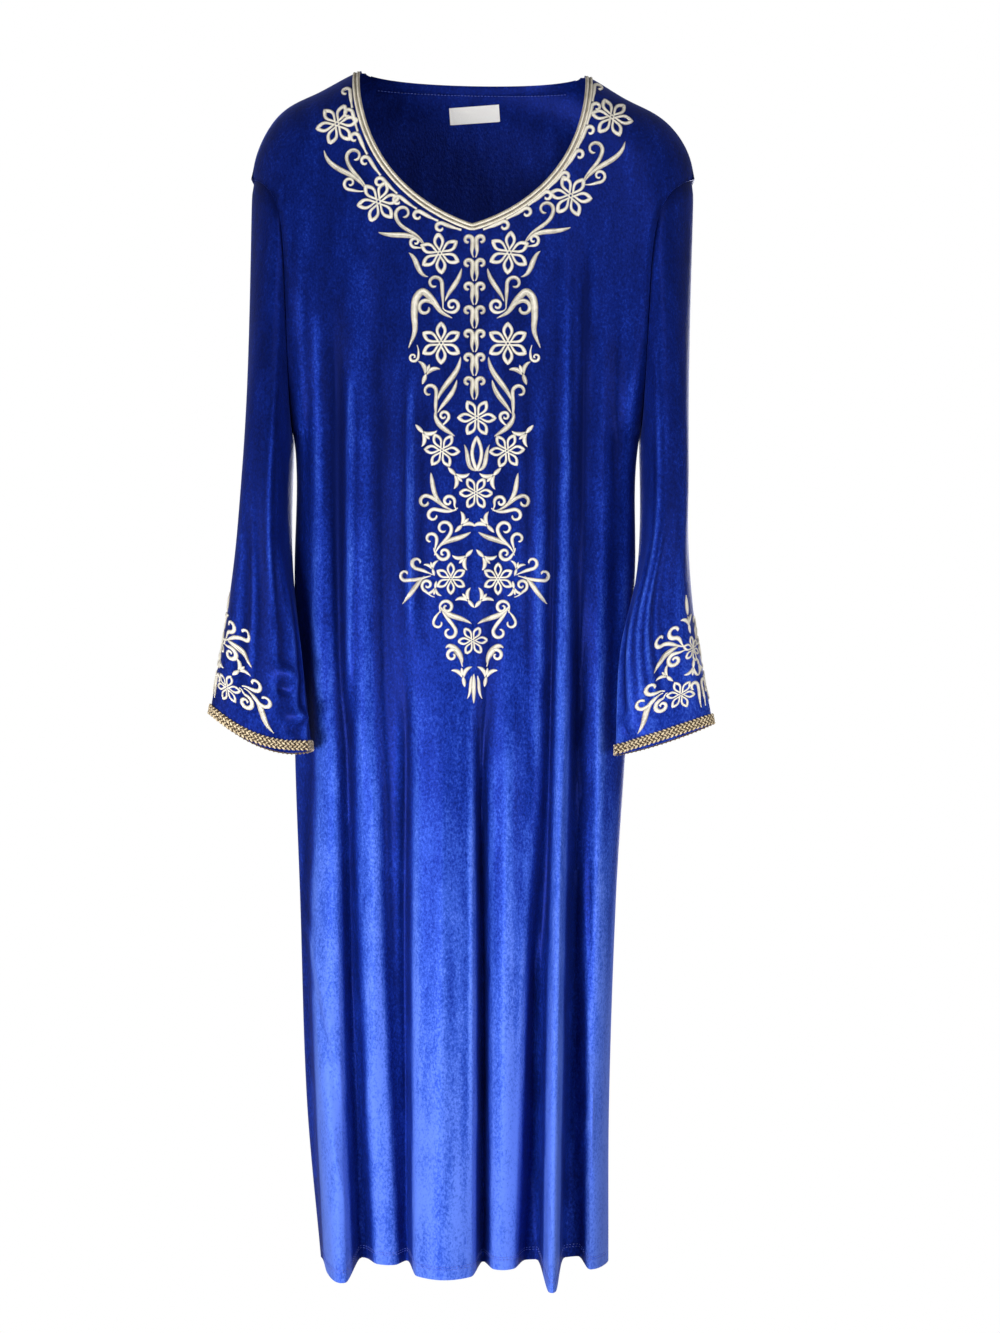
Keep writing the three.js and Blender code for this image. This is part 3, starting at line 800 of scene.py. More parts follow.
# The folds on a sleeve's back and inner side.
HIDDEN_FOLDS = (
    TubeFold(0.60, 0.04, 4.0, 0.10, 0.95),
    TubeFold(0.70, 0.03, -4.0, 0.10, 0.95),
    TubeFold(0.85, 0.04, 4.0, 0.10, 0.95),
)
LEFT_SLEEVE = Sleeve(
    "left",
    -1,
    (
        Ring(-227, -12, -425, 26, 60, 52, 0, 0),
        Ring(-227.5, -32, -560, 40, 43, 30, 4, 2),
        Ring(-229.5, -55, -672, 55, 27, 20, 0, 15),
    ),
    (
        TubeFold(0.08, 0.022, 4.0, 0.40, 1.1, 0.03),
        TubeFold(0.13, 0.02, 4.0, 0.35, 0.98, 0.03),
        TubeFold(0.175, 0.022, -4.0, 0.30, 0.95, 0.0),
        TubeFold(0.225, 0.016, 3.0, 0.02, 0.60, 0.03),
        TubeFold(0.29, 0.02, 3.0, 0.35, 0.9, -0.02),
        TubeFold(0.33, 0.02, -3.0, 0.30, 0.90, -0.02),
        *HIDDEN_FOLDS,
    ),
    (
        Bump(0.160, 0.760, 0.035, 0.026, 11.0),
        Bump(0.110, 0.890, 0.035, 0.022, 10.0),
        Bump(0.165, 0.815, 0.035, 0.018, -4.0),
        Bump(0.130, 0.935, 0.035, 0.018, -4.0),
    ),
    0.46,
    -0.45,
)
RIGHT_SLEEVE = Sleeve(
    "right",
    1,
    (
        Ring(211, -12, -425, 27, 60, 52, 0, 0),
        Ring(202.5, -36, -560, 38, 43, 30, 10, 1),
        Ring(208, -57, -680, 52.5, 27, 17, 0, 2),
    ),
    (
        TubeFold(0.05, 0.02, 3.0, 0.35, 1.1, 0.02),
        TubeFold(0.10, 0.02, -3.0, 0.45, 1.1, 0.02),
        TubeFold(0.15, 0.02, 3.0, 0.30, 0.98, 0.02),
        TubeFold(0.195, 0.014, 3.0, 0.05, 0.95, 0.01),
        TubeFold(0.235, 0.014, 3.0, 0.30, 0.95, 0.02),
        TubeFold(0.275, 0.014, 2.0, 0.40, 0.95, 0.01),
        TubeFold(0.34, 0.03, -2.0, 0.30, 0.80, -0.02),
        *HIDDEN_FOLDS,
    ),
    (Bump(0.10, 0.90, 0.03, 0.03, 4.0), Bump(0.13, 0.96, 0.03, 0.02, -3.0)),
    0.412,
    0.4,
)
SLEEVES = (LEFT_SLEEVE, RIGHT_SLEEVE)


def add_node(tree: Tree, kind: str, settings: dict | None = None, links: dict | None = None) -> Node:
    """Adds a shader node.

    Args:
        tree: The node tree to add it to.
        kind: Its type's name, without the "ShaderNode" that all of them start with.
        settings: Values by the name of a property, or of an input socket.
        links: Output sockets by the name or number of the input that each feeds.

    Returns:
        The new node.
    """
    node = tree.nodes.new("ShaderNode" + kind)
    feed(tree, node, settings or {}, links or {})
    return node


def feed(tree: Tree, node: Node, settings: dict, links: dict) -> None:
    """Sets what a shader node works with.

    Args:
        tree: The node's tree.
        node: The node.
        settings: Values by the name of a property, or of an input socket.
        links: Output sockets by the name or number of the input that each feeds.
    """
    for name, value in settings.items():
        if isinstance(name, str) and hasattr(node, name):
            setattr(node, name, value)
        else:
            node.inputs[name].default_value = value
    for name, output in links.items():
        tree.links.new(output, node.inputs[name])


def ramp(tree: Tree, factor: Socket, stops: Sequence[tuple[float, str]]) -> Node:
    """Adds a colour ramp.

    Args:
        tree: The node tree to add it to.
        factor: The output that drives it.
        stops: Its places from 0 to 1, each with a hex colour.

    Returns:
        The new node.
    """
    node = add_node(tree, "ValToRGB", {}, {"Fac": factor})
    elements = node.color_ramp.elements
    while len(elements) < len(stops):
        elements.new(0.5)
    for element, (place, code) in zip(elements, stops):
        element.position = place
        element.color = linear(code)
    return node


def new_material(name: str) -> tuple[Material, Tree, Node]:
    """Makes an empty material.

    Args:
        name: Its name.

    Returns:
        The material, its node tree and its shader.
    """
    material = bpy.data.materials.new(name)
    material.use_nodes = True
    tree = material.node_tree
    return material, tree, tree.nodes["Principled BSDF"]


def show(tree: Tree, output: str, lit: Node, seen: Node) -> None:
    """Ends a node tree with one shader for the scene's light and another for the camera.

    Args:
        tree: The node tree.
        output: The type of its output node.
        lit: The shader that the light meets.
        seen: The shader that the camera sees.
    """
    camera = add_node(tree, "LightPath").outputs["Is Camera Ray"]
    both = add_node(tree, "MixShader", {}, {0: camera, 1: lit.outputs[0], 2: seen.outputs[0]})
    add_node(tree, output, {}, {0: both.outputs[0]})


@dataclass(frozen=True)
class Velvet:
    """Polyester velvet with a short crushed pile: deep blue where it is looked straight into, and
    bright and satiny where its pile leans away. Its colour also has painted shade in hollows and near
    the shoulders, and painted highlights on ridges.

    Attributes:
        name: The material's name.
        deep, shaded, middle, bright, shining: Its colours, from painted shade in a hollow to a painted
            highlight on a ridge.
        sheen: The colour of its edges seen at a slant.
        gloss: The colour of its highlights.
        pile_mm: Size of the pile's grain.
        patch_mm: Width of the patches that are brushed one way.
        grain: The grain's share in the pattern, beside the patches.
        contrast: How strongly the pattern shows.
        ridge: How much a painted highlight brightens a ridge, and painted shade darkens a hollow,
            against flat cloth.
        painted_shoulder_shade: Painted shade added to the brightness near the shoulders.
        painted_hem_shade: Painted shade added to it near the hem.
    """

    name: str = "crushed_velvet"
    deep: str = "#050f40"
    shaded: str = "#0a1c66"
    middle: str = "#163092"
    bright: str = "#3456be"
    shining: str = "#5c7ce0"
    sheen: str = "#5f7bff"
    gloss: str = "#4a64ff"
    pile_mm: float = 2.2
    patch_mm: float = 18.0
    grain: float = 0.58
    contrast: float = 1.5
    ridge: float = 0.31
    painted_shoulder_shade: float = -0.56
    painted_hem_shade: float = -0.09

    def make(self) -> Material:
        """Builds the material.

        Returns:
            A material that reads how far the cloth stands out from its attribute "lie".
        """
        material, tree, shader = new_material(self.name)
        place = add_node(tree, "TexCoord").outputs["Object"]
        # The pile is brushed downwards, so its patches are drawn out along the garment.
        brushed = add_node(tree, "Mapping", {"Scale": (1.0, 1.0, 0.28)}, {"Vector": place})
        combed = add_node(tree, "Mapping", {"Scale": (1.0, 1.0, 0.7)}, {"Vector": place})
        patches = add_node(
            tree,
            "TexNoise",
            {"Scale": 1.0 / (self.patch_mm * MM), "Detail": 5.0, "Roughness": 0.62},
            {"Vector": brushed.outputs[0]},
        )
        pile = add_node(
            tree,
            "TexNoise",
            {"Scale": 1.0 / (self.pile_mm * MM), "Detail": 2.0, "Roughness": 0.7},
            {"Vector": combed.outputs[0]},
        )
        both = add_node(
            tree,
            "Mix",
            {"data_type": "FLOAT", 0: self.grain},
            {2: patches.outputs[0], 3: pile.outputs[0]},
        )
        # Painted shade by height: the colour is darkest near the shoulders and lightens towards the hem.
        height = add_node(tree, "SeparateXYZ", {}, {"Vector": place})
        painted_height_shade = add_node(
            tree,
            "MapRange",
            {
                "From Min": -0.3,
                "From Max": -1.1,
                "To Min": self.painted_shoulder_shade,
                "To Max": self.painted_hem_shade,
            },
            {"Value": height.outputs["Z"]},
        )
        speckled_and_painted_shade = add_node(
            tree,
            "Math",
            {"operation": "MULTIPLY_ADD", 1: self.contrast},
            {0: both.outputs[0], 2: painted_height_shade.outputs[0]},
        )
        # Painted highlight on a ridge and painted shade in a hollow, from how far the cloth stands out.
        stands = add_node(tree, "Attribute", {"attribute_name": "painted_light_and_shade"})
        raised = add_node(
            tree,
            "Math",
            {"operation": "MULTIPLY_ADD", 1: self.ridge},
            {0: stands.outputs["Fac"], 2: speckled_and_painted_shade.outputs[0]},
        )
        shades = (self.deep, self.shaded, self.middle, self.bright, self.shining)
        colour = ramp(tree, raised.outputs[0], tuple(zip((0.0, 0.28, 0.5, 0.75, 1.0), shades)))
        bump = add_node(
            tree, "Bump", {"Strength": 0.5, "Distance": 0.0012}, {"Height": both.outputs[0]}
        )
        gloss = {
            "Roughness": 0.42,
            "IOR": 1.5,
            "Specular Tint": linear(self.gloss),
            "Sheen Weight": 0.35,
            "Sheen Roughness": 0.35,
            "Sheen Tint": linear(self.sheen),
        }
        feed(tree, shader, gloss, {"Base Color": colour.outputs[0], "Normal": bump.outputs[0]})
        return material


# Scale of a wave texture whose rows are one unit apart.
WAVE_SCALE = 0.314
# Width of a stroke of thread on the UV map, in metres.
STROKE_UV = 0.004


@dataclass(frozen=True)
class Thread:
    """Rayon thread laid in close rows, with a painted highlight along each row and painted shade between
    the rows and at the edges of a stroke.

    Attributes:
        name: The material's name.
        edge: Its painted shade colour, between the rows and at the edges of a stroke.
        middle: Its colour on top, lightened as a painted highlight.
        spacing_mm: Distance from one row to the next.
        slant: The rows' angle to the piece, in radians.
    """

    name: str
    edge: str
    middle: str
    spacing_mm: float
    slant: float = 0.0

    def make(self) -> Material:
        """Builds the material.

        Returns:
            A material for pieces with a UV map along a row of thread and across it, in metres.
        """
        material, tree, shader = new_material(self.name)
        across = add_node(tree, "TexCoord").outputs["UV"]
        turned = add_node(tree, "Mapping", {"Rotation": (0.0, 0.0, self.slant)}, {"Vector": across})
        # One real thread is 0.4 mm wide, and is drawn coarser so that it shows.
        rows = add_node(
            tree,
            "TexWave",
            {"bands_direction": "X", "Scale": WAVE_SCALE / (self.spacing_mm * MM), "Distortion": 0.6},
            {"Vector": turned.outputs[0]},
        )
        place = add_node(tree, "TexCoord").outputs["Object"]
        wear = add_node(tree, "TexNoise", {"Scale": 140.0, "Detail": 3.0}, {"Vector": place})
        painted_rows_and_wear = add_node(
            tree, "Mix", {"data_type": "FLOAT", 0: 0.5}, {2: rows.outputs[1], 3: wear.outputs[0]}
        )
        # Painted shade at both edges of a stroke, where the thread dives into the cloth.
        apart = add_node(tree, "SeparateXYZ", {}, {"Vector": across})
        inward = add_node(
            tree, "Math", {"operation": "PINGPONG", 1: STROKE_UV / 2.0}, {0: apart.outputs["Y"]}
        )
        domed = add_node(
            tree,
            "Math",
            {"operation": "MULTIPLY_ADD", 1: 320.0},
            {0: inward.outputs[0], 2: painted_rows_and_wear.outputs[0]},
        )
        colour = ramp(tree, domed.outputs[0], ((0.55, self.edge), (1.0, self.middle)))
        bump = add_node(
            tree, "Bump", {"Strength": 0.5, "Distance": 0.0004}, {"Height": rows.outputs[1]}
        )
        gloss = {"Roughness": 0.45, "Sheen Weight": 0.25}
        feed(tree, shader, gloss, {"Base Color": colour.outputs[0], "Normal": bump.outputs[0]})
        return material


@dataclass(frozen=True)
class WovenTape:
    """White satin tape with a fine even weave."""

    name: str = "satin_tape"
    colour: str = "#f8f6f4"
    shade: str = "#eceae8"

    def make(self) -> Material:
        """Builds the material.

        Returns:
            A material for flat woven pieces.
        """
        material, tree, shader = new_material(self.name)
        place = add_node(tree, "TexCoord").outputs["UV"]
        weave = add_node(
            tree,
            "TexChecker",
            {"Scale": 1400.0, "Color1": linear(self.colour), "Color2": linear(self.shade)},
            {"Vector": place},
        )
        bump = add_node(
            tree, "Bump", {"Strength": 0.2, "Distance": 0.0002}, {"Height": weave.outputs[1]}
        )
        gloss = {"Roughness": 0.4}
        feed(tree, shader, gloss, {"Base Color": weave.outputs[0], "Normal": bump.outputs[0]})
        return material


def mesh_of(name: str, shape: bmesh.types.BMesh) -> Mesh:
    """Turns a bmesh into a mesh, and frees it.

    Args:
        name: The mesh's name.
        shape: What it is filled from.

    Returns:
        The mesh.
    """
    mesh = bpy.data.meshes.new(name)
    shape.to_mesh(mesh)
    shape.free()
    return mesh


def upright(x: float, y: float) -> Callable[[Array], Array]:
    """Returns a function that gives the point of an upright axis, in metres, beside each place."""
    return lambda centres: centres * (0.0, 0.0, 1.0) + (x * MM, y * MM, 0.0)


def put(name: str, data: bpy.types.ID) -> Piece:
    """Puts a mesh, a light or a camera in the scene.

    Args:
        name: The object's name.
        data: What the object shows.

    Returns:
        The object.
    """
    piece = bpy.data.objects.new(name, data)
    bpy.context.scene.collection.objects.link(piece)
    return piece


def new_object(name: str, mesh: Mesh, material: Material) -> Piece:
    """Puts a mesh in the scene.

    Args:
        name: The object's name.
        mesh: Its mesh, which is shaded smooth.
        material: Its material.

    Returns:
        The object.
    """
    mesh.materials.append(material)
    mesh.polygons.foreach_set("use_smooth", np.ones(len(mesh.polygons), bool))
    return put(name, mesh)


def face_outwards(mesh: Mesh, middle: Callable[[Array], Array]) -> None:
    """Turns all faces round if most of them look towards the middle.

    Args:
        mesh: An open or closed sheet whose faces all look one way.
        middle: Gives the point of the axis, in metres, beside each face's centre.
    """
    count = len(mesh.polygons)
    centres = np.empty(count * 3)
    normals = np.empty(count * 3)
    mesh.polygons.foreach_get("center", centres)
    mesh.polygons.foreach_get("normal", normals)
    centres, normals = centres.reshape(-1, 3), normals.reshape(-1, 3)
    if np.sum((centres - middle(centres)) * normals) < 0.0:
        mesh.flip_normals()


def lay_grid(
    name: str, columns: int, rows: int, place: Place, plan: Place, painted_light_and_shade: Place | None = None
) -> Mesh:
    """Makes a mesh from a flat grid that is laid over a surface.

    Args:
        name: The mesh's name.
        columns: Faces across.
        rows: Faces down.
        place: Gives points in millimetres from shares across and down, both from 0 to 1.
        plan: Gives the UV map's coordinates in millimetres from the same shares.
        painted_light_and_shade: Gives how far each point stands above its surroundings, for the velvet's
            painted light and shade.

    Returns:
        The mesh, in metres.
    """
    flat = bmesh.new()
    flat.loops.layers.uv.new("UVMap")
    bmesh.ops.create_grid(flat, x_segments=columns, y_segments=rows, size=0.5, calc_uvs=True)
    mesh = mesh_of(name, flat)
    points = np.empty(len(mesh.vertices) * 3)
    mesh.vertices.foreach_get("co", points)
    shares = points.reshape(-1, 3)[:, :2] + 0.5
    mesh.vertices.foreach_set("co", (place(shares[:, 0], 1.0 - shares[:, 1]) * MM).ravel())
    corners = np.empty(len(mesh.loops), int)
    mesh.loops.foreach_get("vertex_index", corners)
    flat_places = plan(shares[:, 0], 1.0 - shares[:, 1]) * MM
    mesh.uv_layers.active.data.foreach_set("uv", flat_places[corners].ravel())
    if painted_light_and_shade:
        # An attribute that the velvet turns into painted light and shade.
        layer = mesh.attributes.new("painted_light_and_shade", "FLOAT", "POINT")
        layer.data.foreach_set("value", painted_light_and_shade(shares[:, 0], 1.0 - shares[:, 1]))
    mesh.update()
    return mesh


def weld(mesh: Mesh) -> None:
    """Joins the edges of a grid that meet.

    Args:
        mesh: The grid.
    """
    whole = bmesh.new()
    whole.from_mesh(mesh)
    bmesh.ops.remove_doubles(whole, verts=whole.verts, dist=1e-6)
    whole.to_mesh(mesh)
    whole.free()


def prism(name: str, outline: Sequence[Spot]) -> Piece:
    """Makes a cutter that runs from front to back.

    Args:
        name: Its name.
        outline: Its corners, as x and z in millimetres.

    Returns:
        The cutter, which is not drawn.
    """
    half = 300.0
    shape = bmesh.new()
    face = shape.faces.new([shape.verts.new((x * MM, -half * MM, z * MM)) for x, z in outline])
    grown = bmesh.ops.extrude_face_region(shape, geom=[face])
    moved = [item for item in grown["geom"] if isinstance(item, bmesh.types.BMVert)]
    bmesh.ops.translate(shape, verts=moved, vec=(0.0, 2.0 * half * MM, 0.0))
    bmesh.ops.recalc_face_normals(shape, faces=shape.faces)
    return put(name, mesh_of(name, shape))


def settle(piece: Piece, cutters: Sequence[Piece] = (), wall: float = 0.0) -> Piece:
    """Gives a sheet its wall and cuts it, and leaves plain mesh.

    Args:
        piece: The object to finish.
        cutters: What is cut away, and then removed.
        wall: Thickness of the cloth in millimetres, inwards.

    Returns:
        The same object.
    """
    if wall:
        thick = piece.modifiers.new("wall", "SOLIDIFY")
        thick.thickness = wall * MM
        thick.offset = -1.0
    for cutter in cutters:
        cut = piece.modifiers.new("cut", "BOOLEAN")
        cut.operation = "DIFFERENCE"
        cut.solver = "MANIFOLD"
        cut.object = cutter
    ready = piece.evaluated_get(bpy.context.evaluated_depsgraph_get())
    mesh = bpy.data.meshes.new_from_object(ready)
    piece.modifiers.clear()
    piece.data = mesh
    mesh.set_sharp_from_angle(angle=math.radians(50.0))
    for cutter in cutters:
        bpy.data.objects.remove(cutter)
    return piece


@dataclass(frozen=True)
class Panels:
    """The front and the back of the body.

    Attributes:
        columns: Faces across each.
        rows: Faces down each.
        round_rows: Rows over the shoulder's turn.
    """

    columns: int = 212
    rows: int = 196
    round_rows: int = 24

    def shares(self, down: Array) -> Array:
        """Spaces the rows of a panel, close together over the shoulder.

        Args:
            down: Share of the way down.

        Returns:
            Shares of the height.
        """
        whole = SHOULDER_POINT_Z - HEM_Z
        top = self.round_rows / self.rows
        turn = SHOULDER_ROUND * (1.0 - np.cos(np.clip(down / top, 0.0, 1.0) * math.pi / 2.0))
        rest = mix(SHOULDER_ROUND, whole, (down - top) / (1.0 - top))
        return np.where(down < top, turn, rest) / whole

    def hem_places(self, side: Side) -> tuple[Array, Array]:
        """Returns places across the hem, and the share of its cloth up to each."""
        places = np.sin((np.linspace(0.0, 1.0, 3000) - 0.5) * math.pi)
        return places, shares_of(BODY.point(places, np.full_like(places, HEM_Z), side))

    def make(self, side: Side, material: Material) -> Piece:
        """Builds one panel, cut at its neckline and armholes.

        Args:
            side: Which half of the body.
            material: Its material.

        Returns:
            The panel.
        """
        places, cloth = self.hem_places(side)
        width = 700.0

        def spread(across: Array, down: Array) -> tuple[Array, Array]:
            """Spaces the places so that equal shares take up as much cloth at the hem.

            Args:
                across: Share of the way across.
                down: Share of the way down.

            Returns:
                Places across the cloth, and heights.
            """
            share = self.shares(down)
            top = mix(2.0 * across - 1.0, -np.cos(across * math.pi), 0.3)
            z = mix(BODY.shoulder_line(top * SHOULDER_HALF), HEM_Z, share)
            return mix(top, np.interp(across, cloth, places), smooth(share / 0.45)), z

        def place(across: Array, down: Array) -> Array:
            """Returns the points of the cloth."""
            where, z = spread(across, down)
            return BODY.point(where, z, side)

        def plan(across: Array, down: Array) -> Array:
            """Returns places on the flat cloth."""
            return joined(across * width, spread(across, down)[1] - HEM_Z)

        def painted_light_and_shade(across: Array, down: Array) -> Array:
            """Returns how far each place stands above its surroundings."""
            where, z = spread(across, down)
            return BODY.painted_light_and_shade(BODY.x_at(where, z), z, side)

        name = "front_velvet" if side is Side.FRONT else "back_velvet"
        mesh = lay_grid(name, self.columns, self.rows, place, plan, painted_light_and_shade)
        face_outwards(mesh, lambda centres: centres * (1.0, 0.0, 1.0))
        piece = new_object(name, mesh, material)
        cutters = [self.neck_cutter(side), self.armhole_cutter(-1), self.armhole_cutter(1)]
        return settle(piece, cutters, CLOTH)

    def neck_cutter(self, side: Side) -> Piece:
        """Builds the space above a neckline.

        Args:
            side: Which half of the body.

        Returns:
            The cutter.
        """
        x = NECK_HALF * np.sin(np.linspace(-0.5, 0.5, 160) * math.pi)
        edge = list(zip(x, BODY.neckline(x, side)))
        return prism("neck_cutter", [*edge, (NECK_HALF, 200.0), (-NECK_HALF, 200.0)])

    def armhole_cutter(self, side: int) -> Piece:
        """Builds the space beyond an armhole.

        Args:
            side: -1 for the left armhole and 1 for the right one.

        Returns:
            The cutter.
        """
        far = 400.0
        top = SHOULDER_POINT_Z + 6.0
        z = mix(top, UNDERARM_Z, np.linspace(0.0, 1.0, 90) ** 1.6)
        x = side * BODY.armhole_edge(z, side)
        return prism("armhole_cutter", [*zip(x, z), (side * far, UNDERARM_Z), (side * far, z[0])])


@dataclass(frozen=True)
class Sleeves:
    """The two set-in sleeves.

    Attributes:
        columns: Faces round each.
        rows: Faces down each.
    """

    columns: int = 168
    rows: int = 130

    def make(self, sleeve: Sleeve, material: Material) -> Piece:
        """Builds one sleeve as a round wall, open at both ends.

        Args:
            sleeve: Its shape.
            material: Its material.

        Returns:
            The sleeve.
        """
        girth, length = 270.0, 345.0
        middle_x, middle_y = 215.0, -30.0

        def plan(around: Array, down: Array) -> Array:
            """Returns places on the flat cloth."""
            return joined(around * girth, -down * length)

        name = f"{sleeve.name}_sleeve_velvet"
        mesh = lay_grid(name, self.columns, self.rows, sleeve.point, plan, sleeve.painted_light_and_shade)
        weld(mesh)
        face_outwards(mesh, upright(sleeve.side * middle_x, middle_y))
        piece = new_object(name, mesh, material)
        return settle(piece, wall=CLOTH)


@dataclass
class Stroke:
    """One line of satin stitch on flat cloth.

    Attributes:
        line: Its middle, as x and y in millimetres.
        half: Half its width at each point.
        split: Whether it has a groove along its middle, where two rows of stitches meet.
    """

    line: Array
    half: Array
    split: bool = False

    def turned(self, angle: float, x: float, y: float, flip: bool = False) -> "Stroke":
        """Turns and moves the stroke.

        Args:
            angle: How far it turns, in degrees.
            x: How far it moves to the right.
            y: How far it moves up.
            flip: Whether it is mirrored first.

        Returns:
            The new stroke.
        """
        line = self.line * ((-1.0, 1.0) if flip else (1.0, 1.0))
        c, s = math.cos(math.radians(angle)), math.sin(math.radians(angle))
        line = joined(line[:, 0] * c - line[:, 1] * s + x, line[:, 0] * s + line[:, 1] * c + y)
        return Stroke(line, self.half, self.split)

    def mirrored(self) -> "Stroke":
        """Returns the stroke with left and right swapped."""
        return self.turned(0.0, 0.0, 0.0, flip=True)


def way(angle: float) -> Array:
    """Returns the unit vector at an angle in degrees."""
    return np.array([math.cos(math.radians(angle)), math.sin(math.radians(angle))])


def bezier(start: Array, leave: float, end: Array, arrive: float, reach: float = 0.4) -> Array:
    """Draws a curve between two places.

    Args:
        start: Where it starts.
        leave: Its heading there, in degrees.
        end: Where it ends.
        arrive: Its heading there, in degrees.
        reach: How far each heading is held, as a share of the distance.

    Returns:
        The points of the curve.
    """
    start, end = np.asarray(start, float), np.asarray(end, float)
    pull = np.linalg.norm(end - start) * reach
    first, second = start + way(leave) * pull, end - way(arrive) * pull
    t = np.linspace(0.0, 1.0, 40)[:, None]
    s = 1.0 - t
    return s**3 * start + 3.0 * s * s * t * first + 3.0 * s * t * t * second + t**3 * end


@dataclass(frozen=True)
class Tendril:
    """A stem that ends in a curl.

    Attributes:
        base: Where it starts.
        heading: Its direction there, in degrees.
        centre: The middle of its curl.
        radius: The curl's radius where the stem joins it.
        entry: The angle on the curl where the stem joins it.
        sweep: How far the curl turns from there, positive anticlockwise.
        width: Its greatest width.
    """

    base: Spot
    heading: float
    centre: Spot
    radius: float
    entry: float
    sweep: float
    width: float = 4.0

    def strokes(self) -> list[Stroke]:
        """Draws the tendril.

        Returns:
            Its single stroke.
        """
        hand = math.copysign(1.0, self.sweep)
        middle = np.array(self.centre)
        stem = bezier(
            self.base, self.heading, middle + way(self.entry) * self.radius, self.entry + 90.0 * hand
        )
        t = np.linspace(0.0, 1.0, 60)
        tight = 1.0 - max(0.3, min(0.8, abs(self.sweep) / 520.0)) * t
        angle = np.radians(self.entry + self.sweep * t)
        curl = middle + (self.radius * tight)[:, None] * joined(np.cos(angle), np.sin(angle))
        line = np.concatenate([stem, curl[1:]])
        s = shares_of(line)
        half = self.width / 2.0 * (0.3 + 0.7 * smooth(s / 0.35)) * (1.0 - 0.35 * smooth((s - 0.6) / 0.4))
        half *= 0.86 * np.sqrt(np.clip((1.0 - s) / 0.04, 0.02, 1.0))
        return [Stroke(line, half, self.width > 4.4)]


@dataclass(frozen=True)
class Blade:
    """A long leaf that tapers to a point at one or both ends.

    Attributes:
        start: Where it starts.
        leave: Its direction there, in degrees.
        end: Where it ends.
        arrive: Its direction there, in degrees.
        width: Its greatest width.
        blunt: Width left at its start, as a share.
    """

    start: Spot
    leave: float
    end: Spot
    arrive: float
    width: float = 5.0
    blunt: float = 0.0

    def strokes(self) -> list[Stroke]:
        """Draws the blade.

        Returns:
            Its single stroke.
        """
        line = bezier(self.start, self.leave, self.end, self.arrive)
        s = shares_of(line)
        half = self.width / 2.0 * np.maximum(np.sin(math.pi * s**0.9) ** 0.7, self.blunt * (1.0 - s))
        return [Stroke(line, np.maximum(half, 0.08), self.width > 4.4)]


@dataclass(frozen=True)
class Flower:
    """Six open pointed petals round a small ring.

    Attributes:
        centre: Its middle.
        radius: From the middle to a petal's tip.
        turn: The direction of one petal, in degrees.
    """

    centre: Spot
    radius: float
    turn: float = 0.0

    def strokes(self) -> list[Stroke]:
        """Draws the flower.

        Returns:
            A closed outline for each petal, and the ring.
        """
        made = []
        t = (1.0 - np.cos(np.linspace(0.0, math.pi, 26))) / 2.0
        inner = 0.13 * self.radius
        reach = inner + (0.93 * self.radius - inner) * t
        wide = 0.19 * self.radius * np.sin(math.pi * t**1.25)
        upper = joined(reach, wide)
        petal = np.concatenate([upper, upper[-2::-1] * (1.0, -1.0)])
        thick = 0.07 * self.radius * (0.6 + 0.7 * np.concatenate([t, t[-2::-1]]))
        for k in range(6):
            made.append(Stroke(petal, thick).turned(self.turn + 60.0 * k, *self.centre))
        angle = np.linspace(0.0, 2.0 * math.pi, 17)
        ring = 0.095 * self.radius * joined(np.cos(angle), np.sin(angle))
        made.append(Stroke(ring, np.full(17, 0.045 * self.radius)).turned(0.0, *self.centre))
        return made


@dataclass(frozen=True)
class Bud:
    """A small open bud with two flared lips, a tooth between them and a pointed stem.

    Attributes:
        centre: Where its lips part.
        mouth: The direction in which it opens, in degrees.
        size: Its whole length.
    """

    centre: Spot
    mouth: float
    size: float = 24.0

    def strokes(self) -> list[Stroke]:
        """Draws the bud.

        Returns:
            Its stem, both lips and the tooth.
        """
        unit = self.size / 24.0
        stem = Blade((0.0, -3.0 * unit), -90.0, (0.0, -15.0 * unit), -90.0, 4.4 * unit)
        lip = Blade((1.2 * unit, -4.0 * unit), 88.0, (12.0 * unit, 6.0 * unit), 0.0, 4.4 * unit)
        tooth = Blade((0.0, -1.5 * unit), 90.0, (0.0, 7.0 * unit), 90.0, 3.6 * unit)
        made = [*stem.strokes(), *tooth.strokes(), *lip.strokes()]
        made += [stroke.mirrored() for stroke in lip.strokes()]
        return [stroke.turned(self.mouth - 90.0, *self.centre) for stroke in made]


@dataclass(frozen=True)
class Tulip:
    """An open pointed oval between two leaves that start at its foot and curve away from it."""

    foot: Spot
    height: float

    def strokes(self) -> list[Stroke]:
        """Draws the tulip.

        Returns:
            The oval's outline and both leaves.
        """
        t = (1.0 - np.cos(np.linspace(0.0, math.pi, 30))) / 2.0
        wide = 0.14 * self.height * np.sin(math.pi * t**1.1) ** 0.9
        upper = joined(wide, self.height * t)
        oval = np.concatenate([upper, upper[-2::-1] * (-1.0, 1.0)])
        made = [Stroke(oval, np.full(len(oval), 0.05 * self.height))]
        leaf = Blade((0.5, 0.0), 10.0, (0.38 * self.height, 0.78 * self.height), 60.0, 4.6)
        made += leaf.strokes()
        made += [stroke.mirrored() for stroke in leaf.strokes()]
        return [stroke.turned(0.0, *self.foot) for stroke in made]


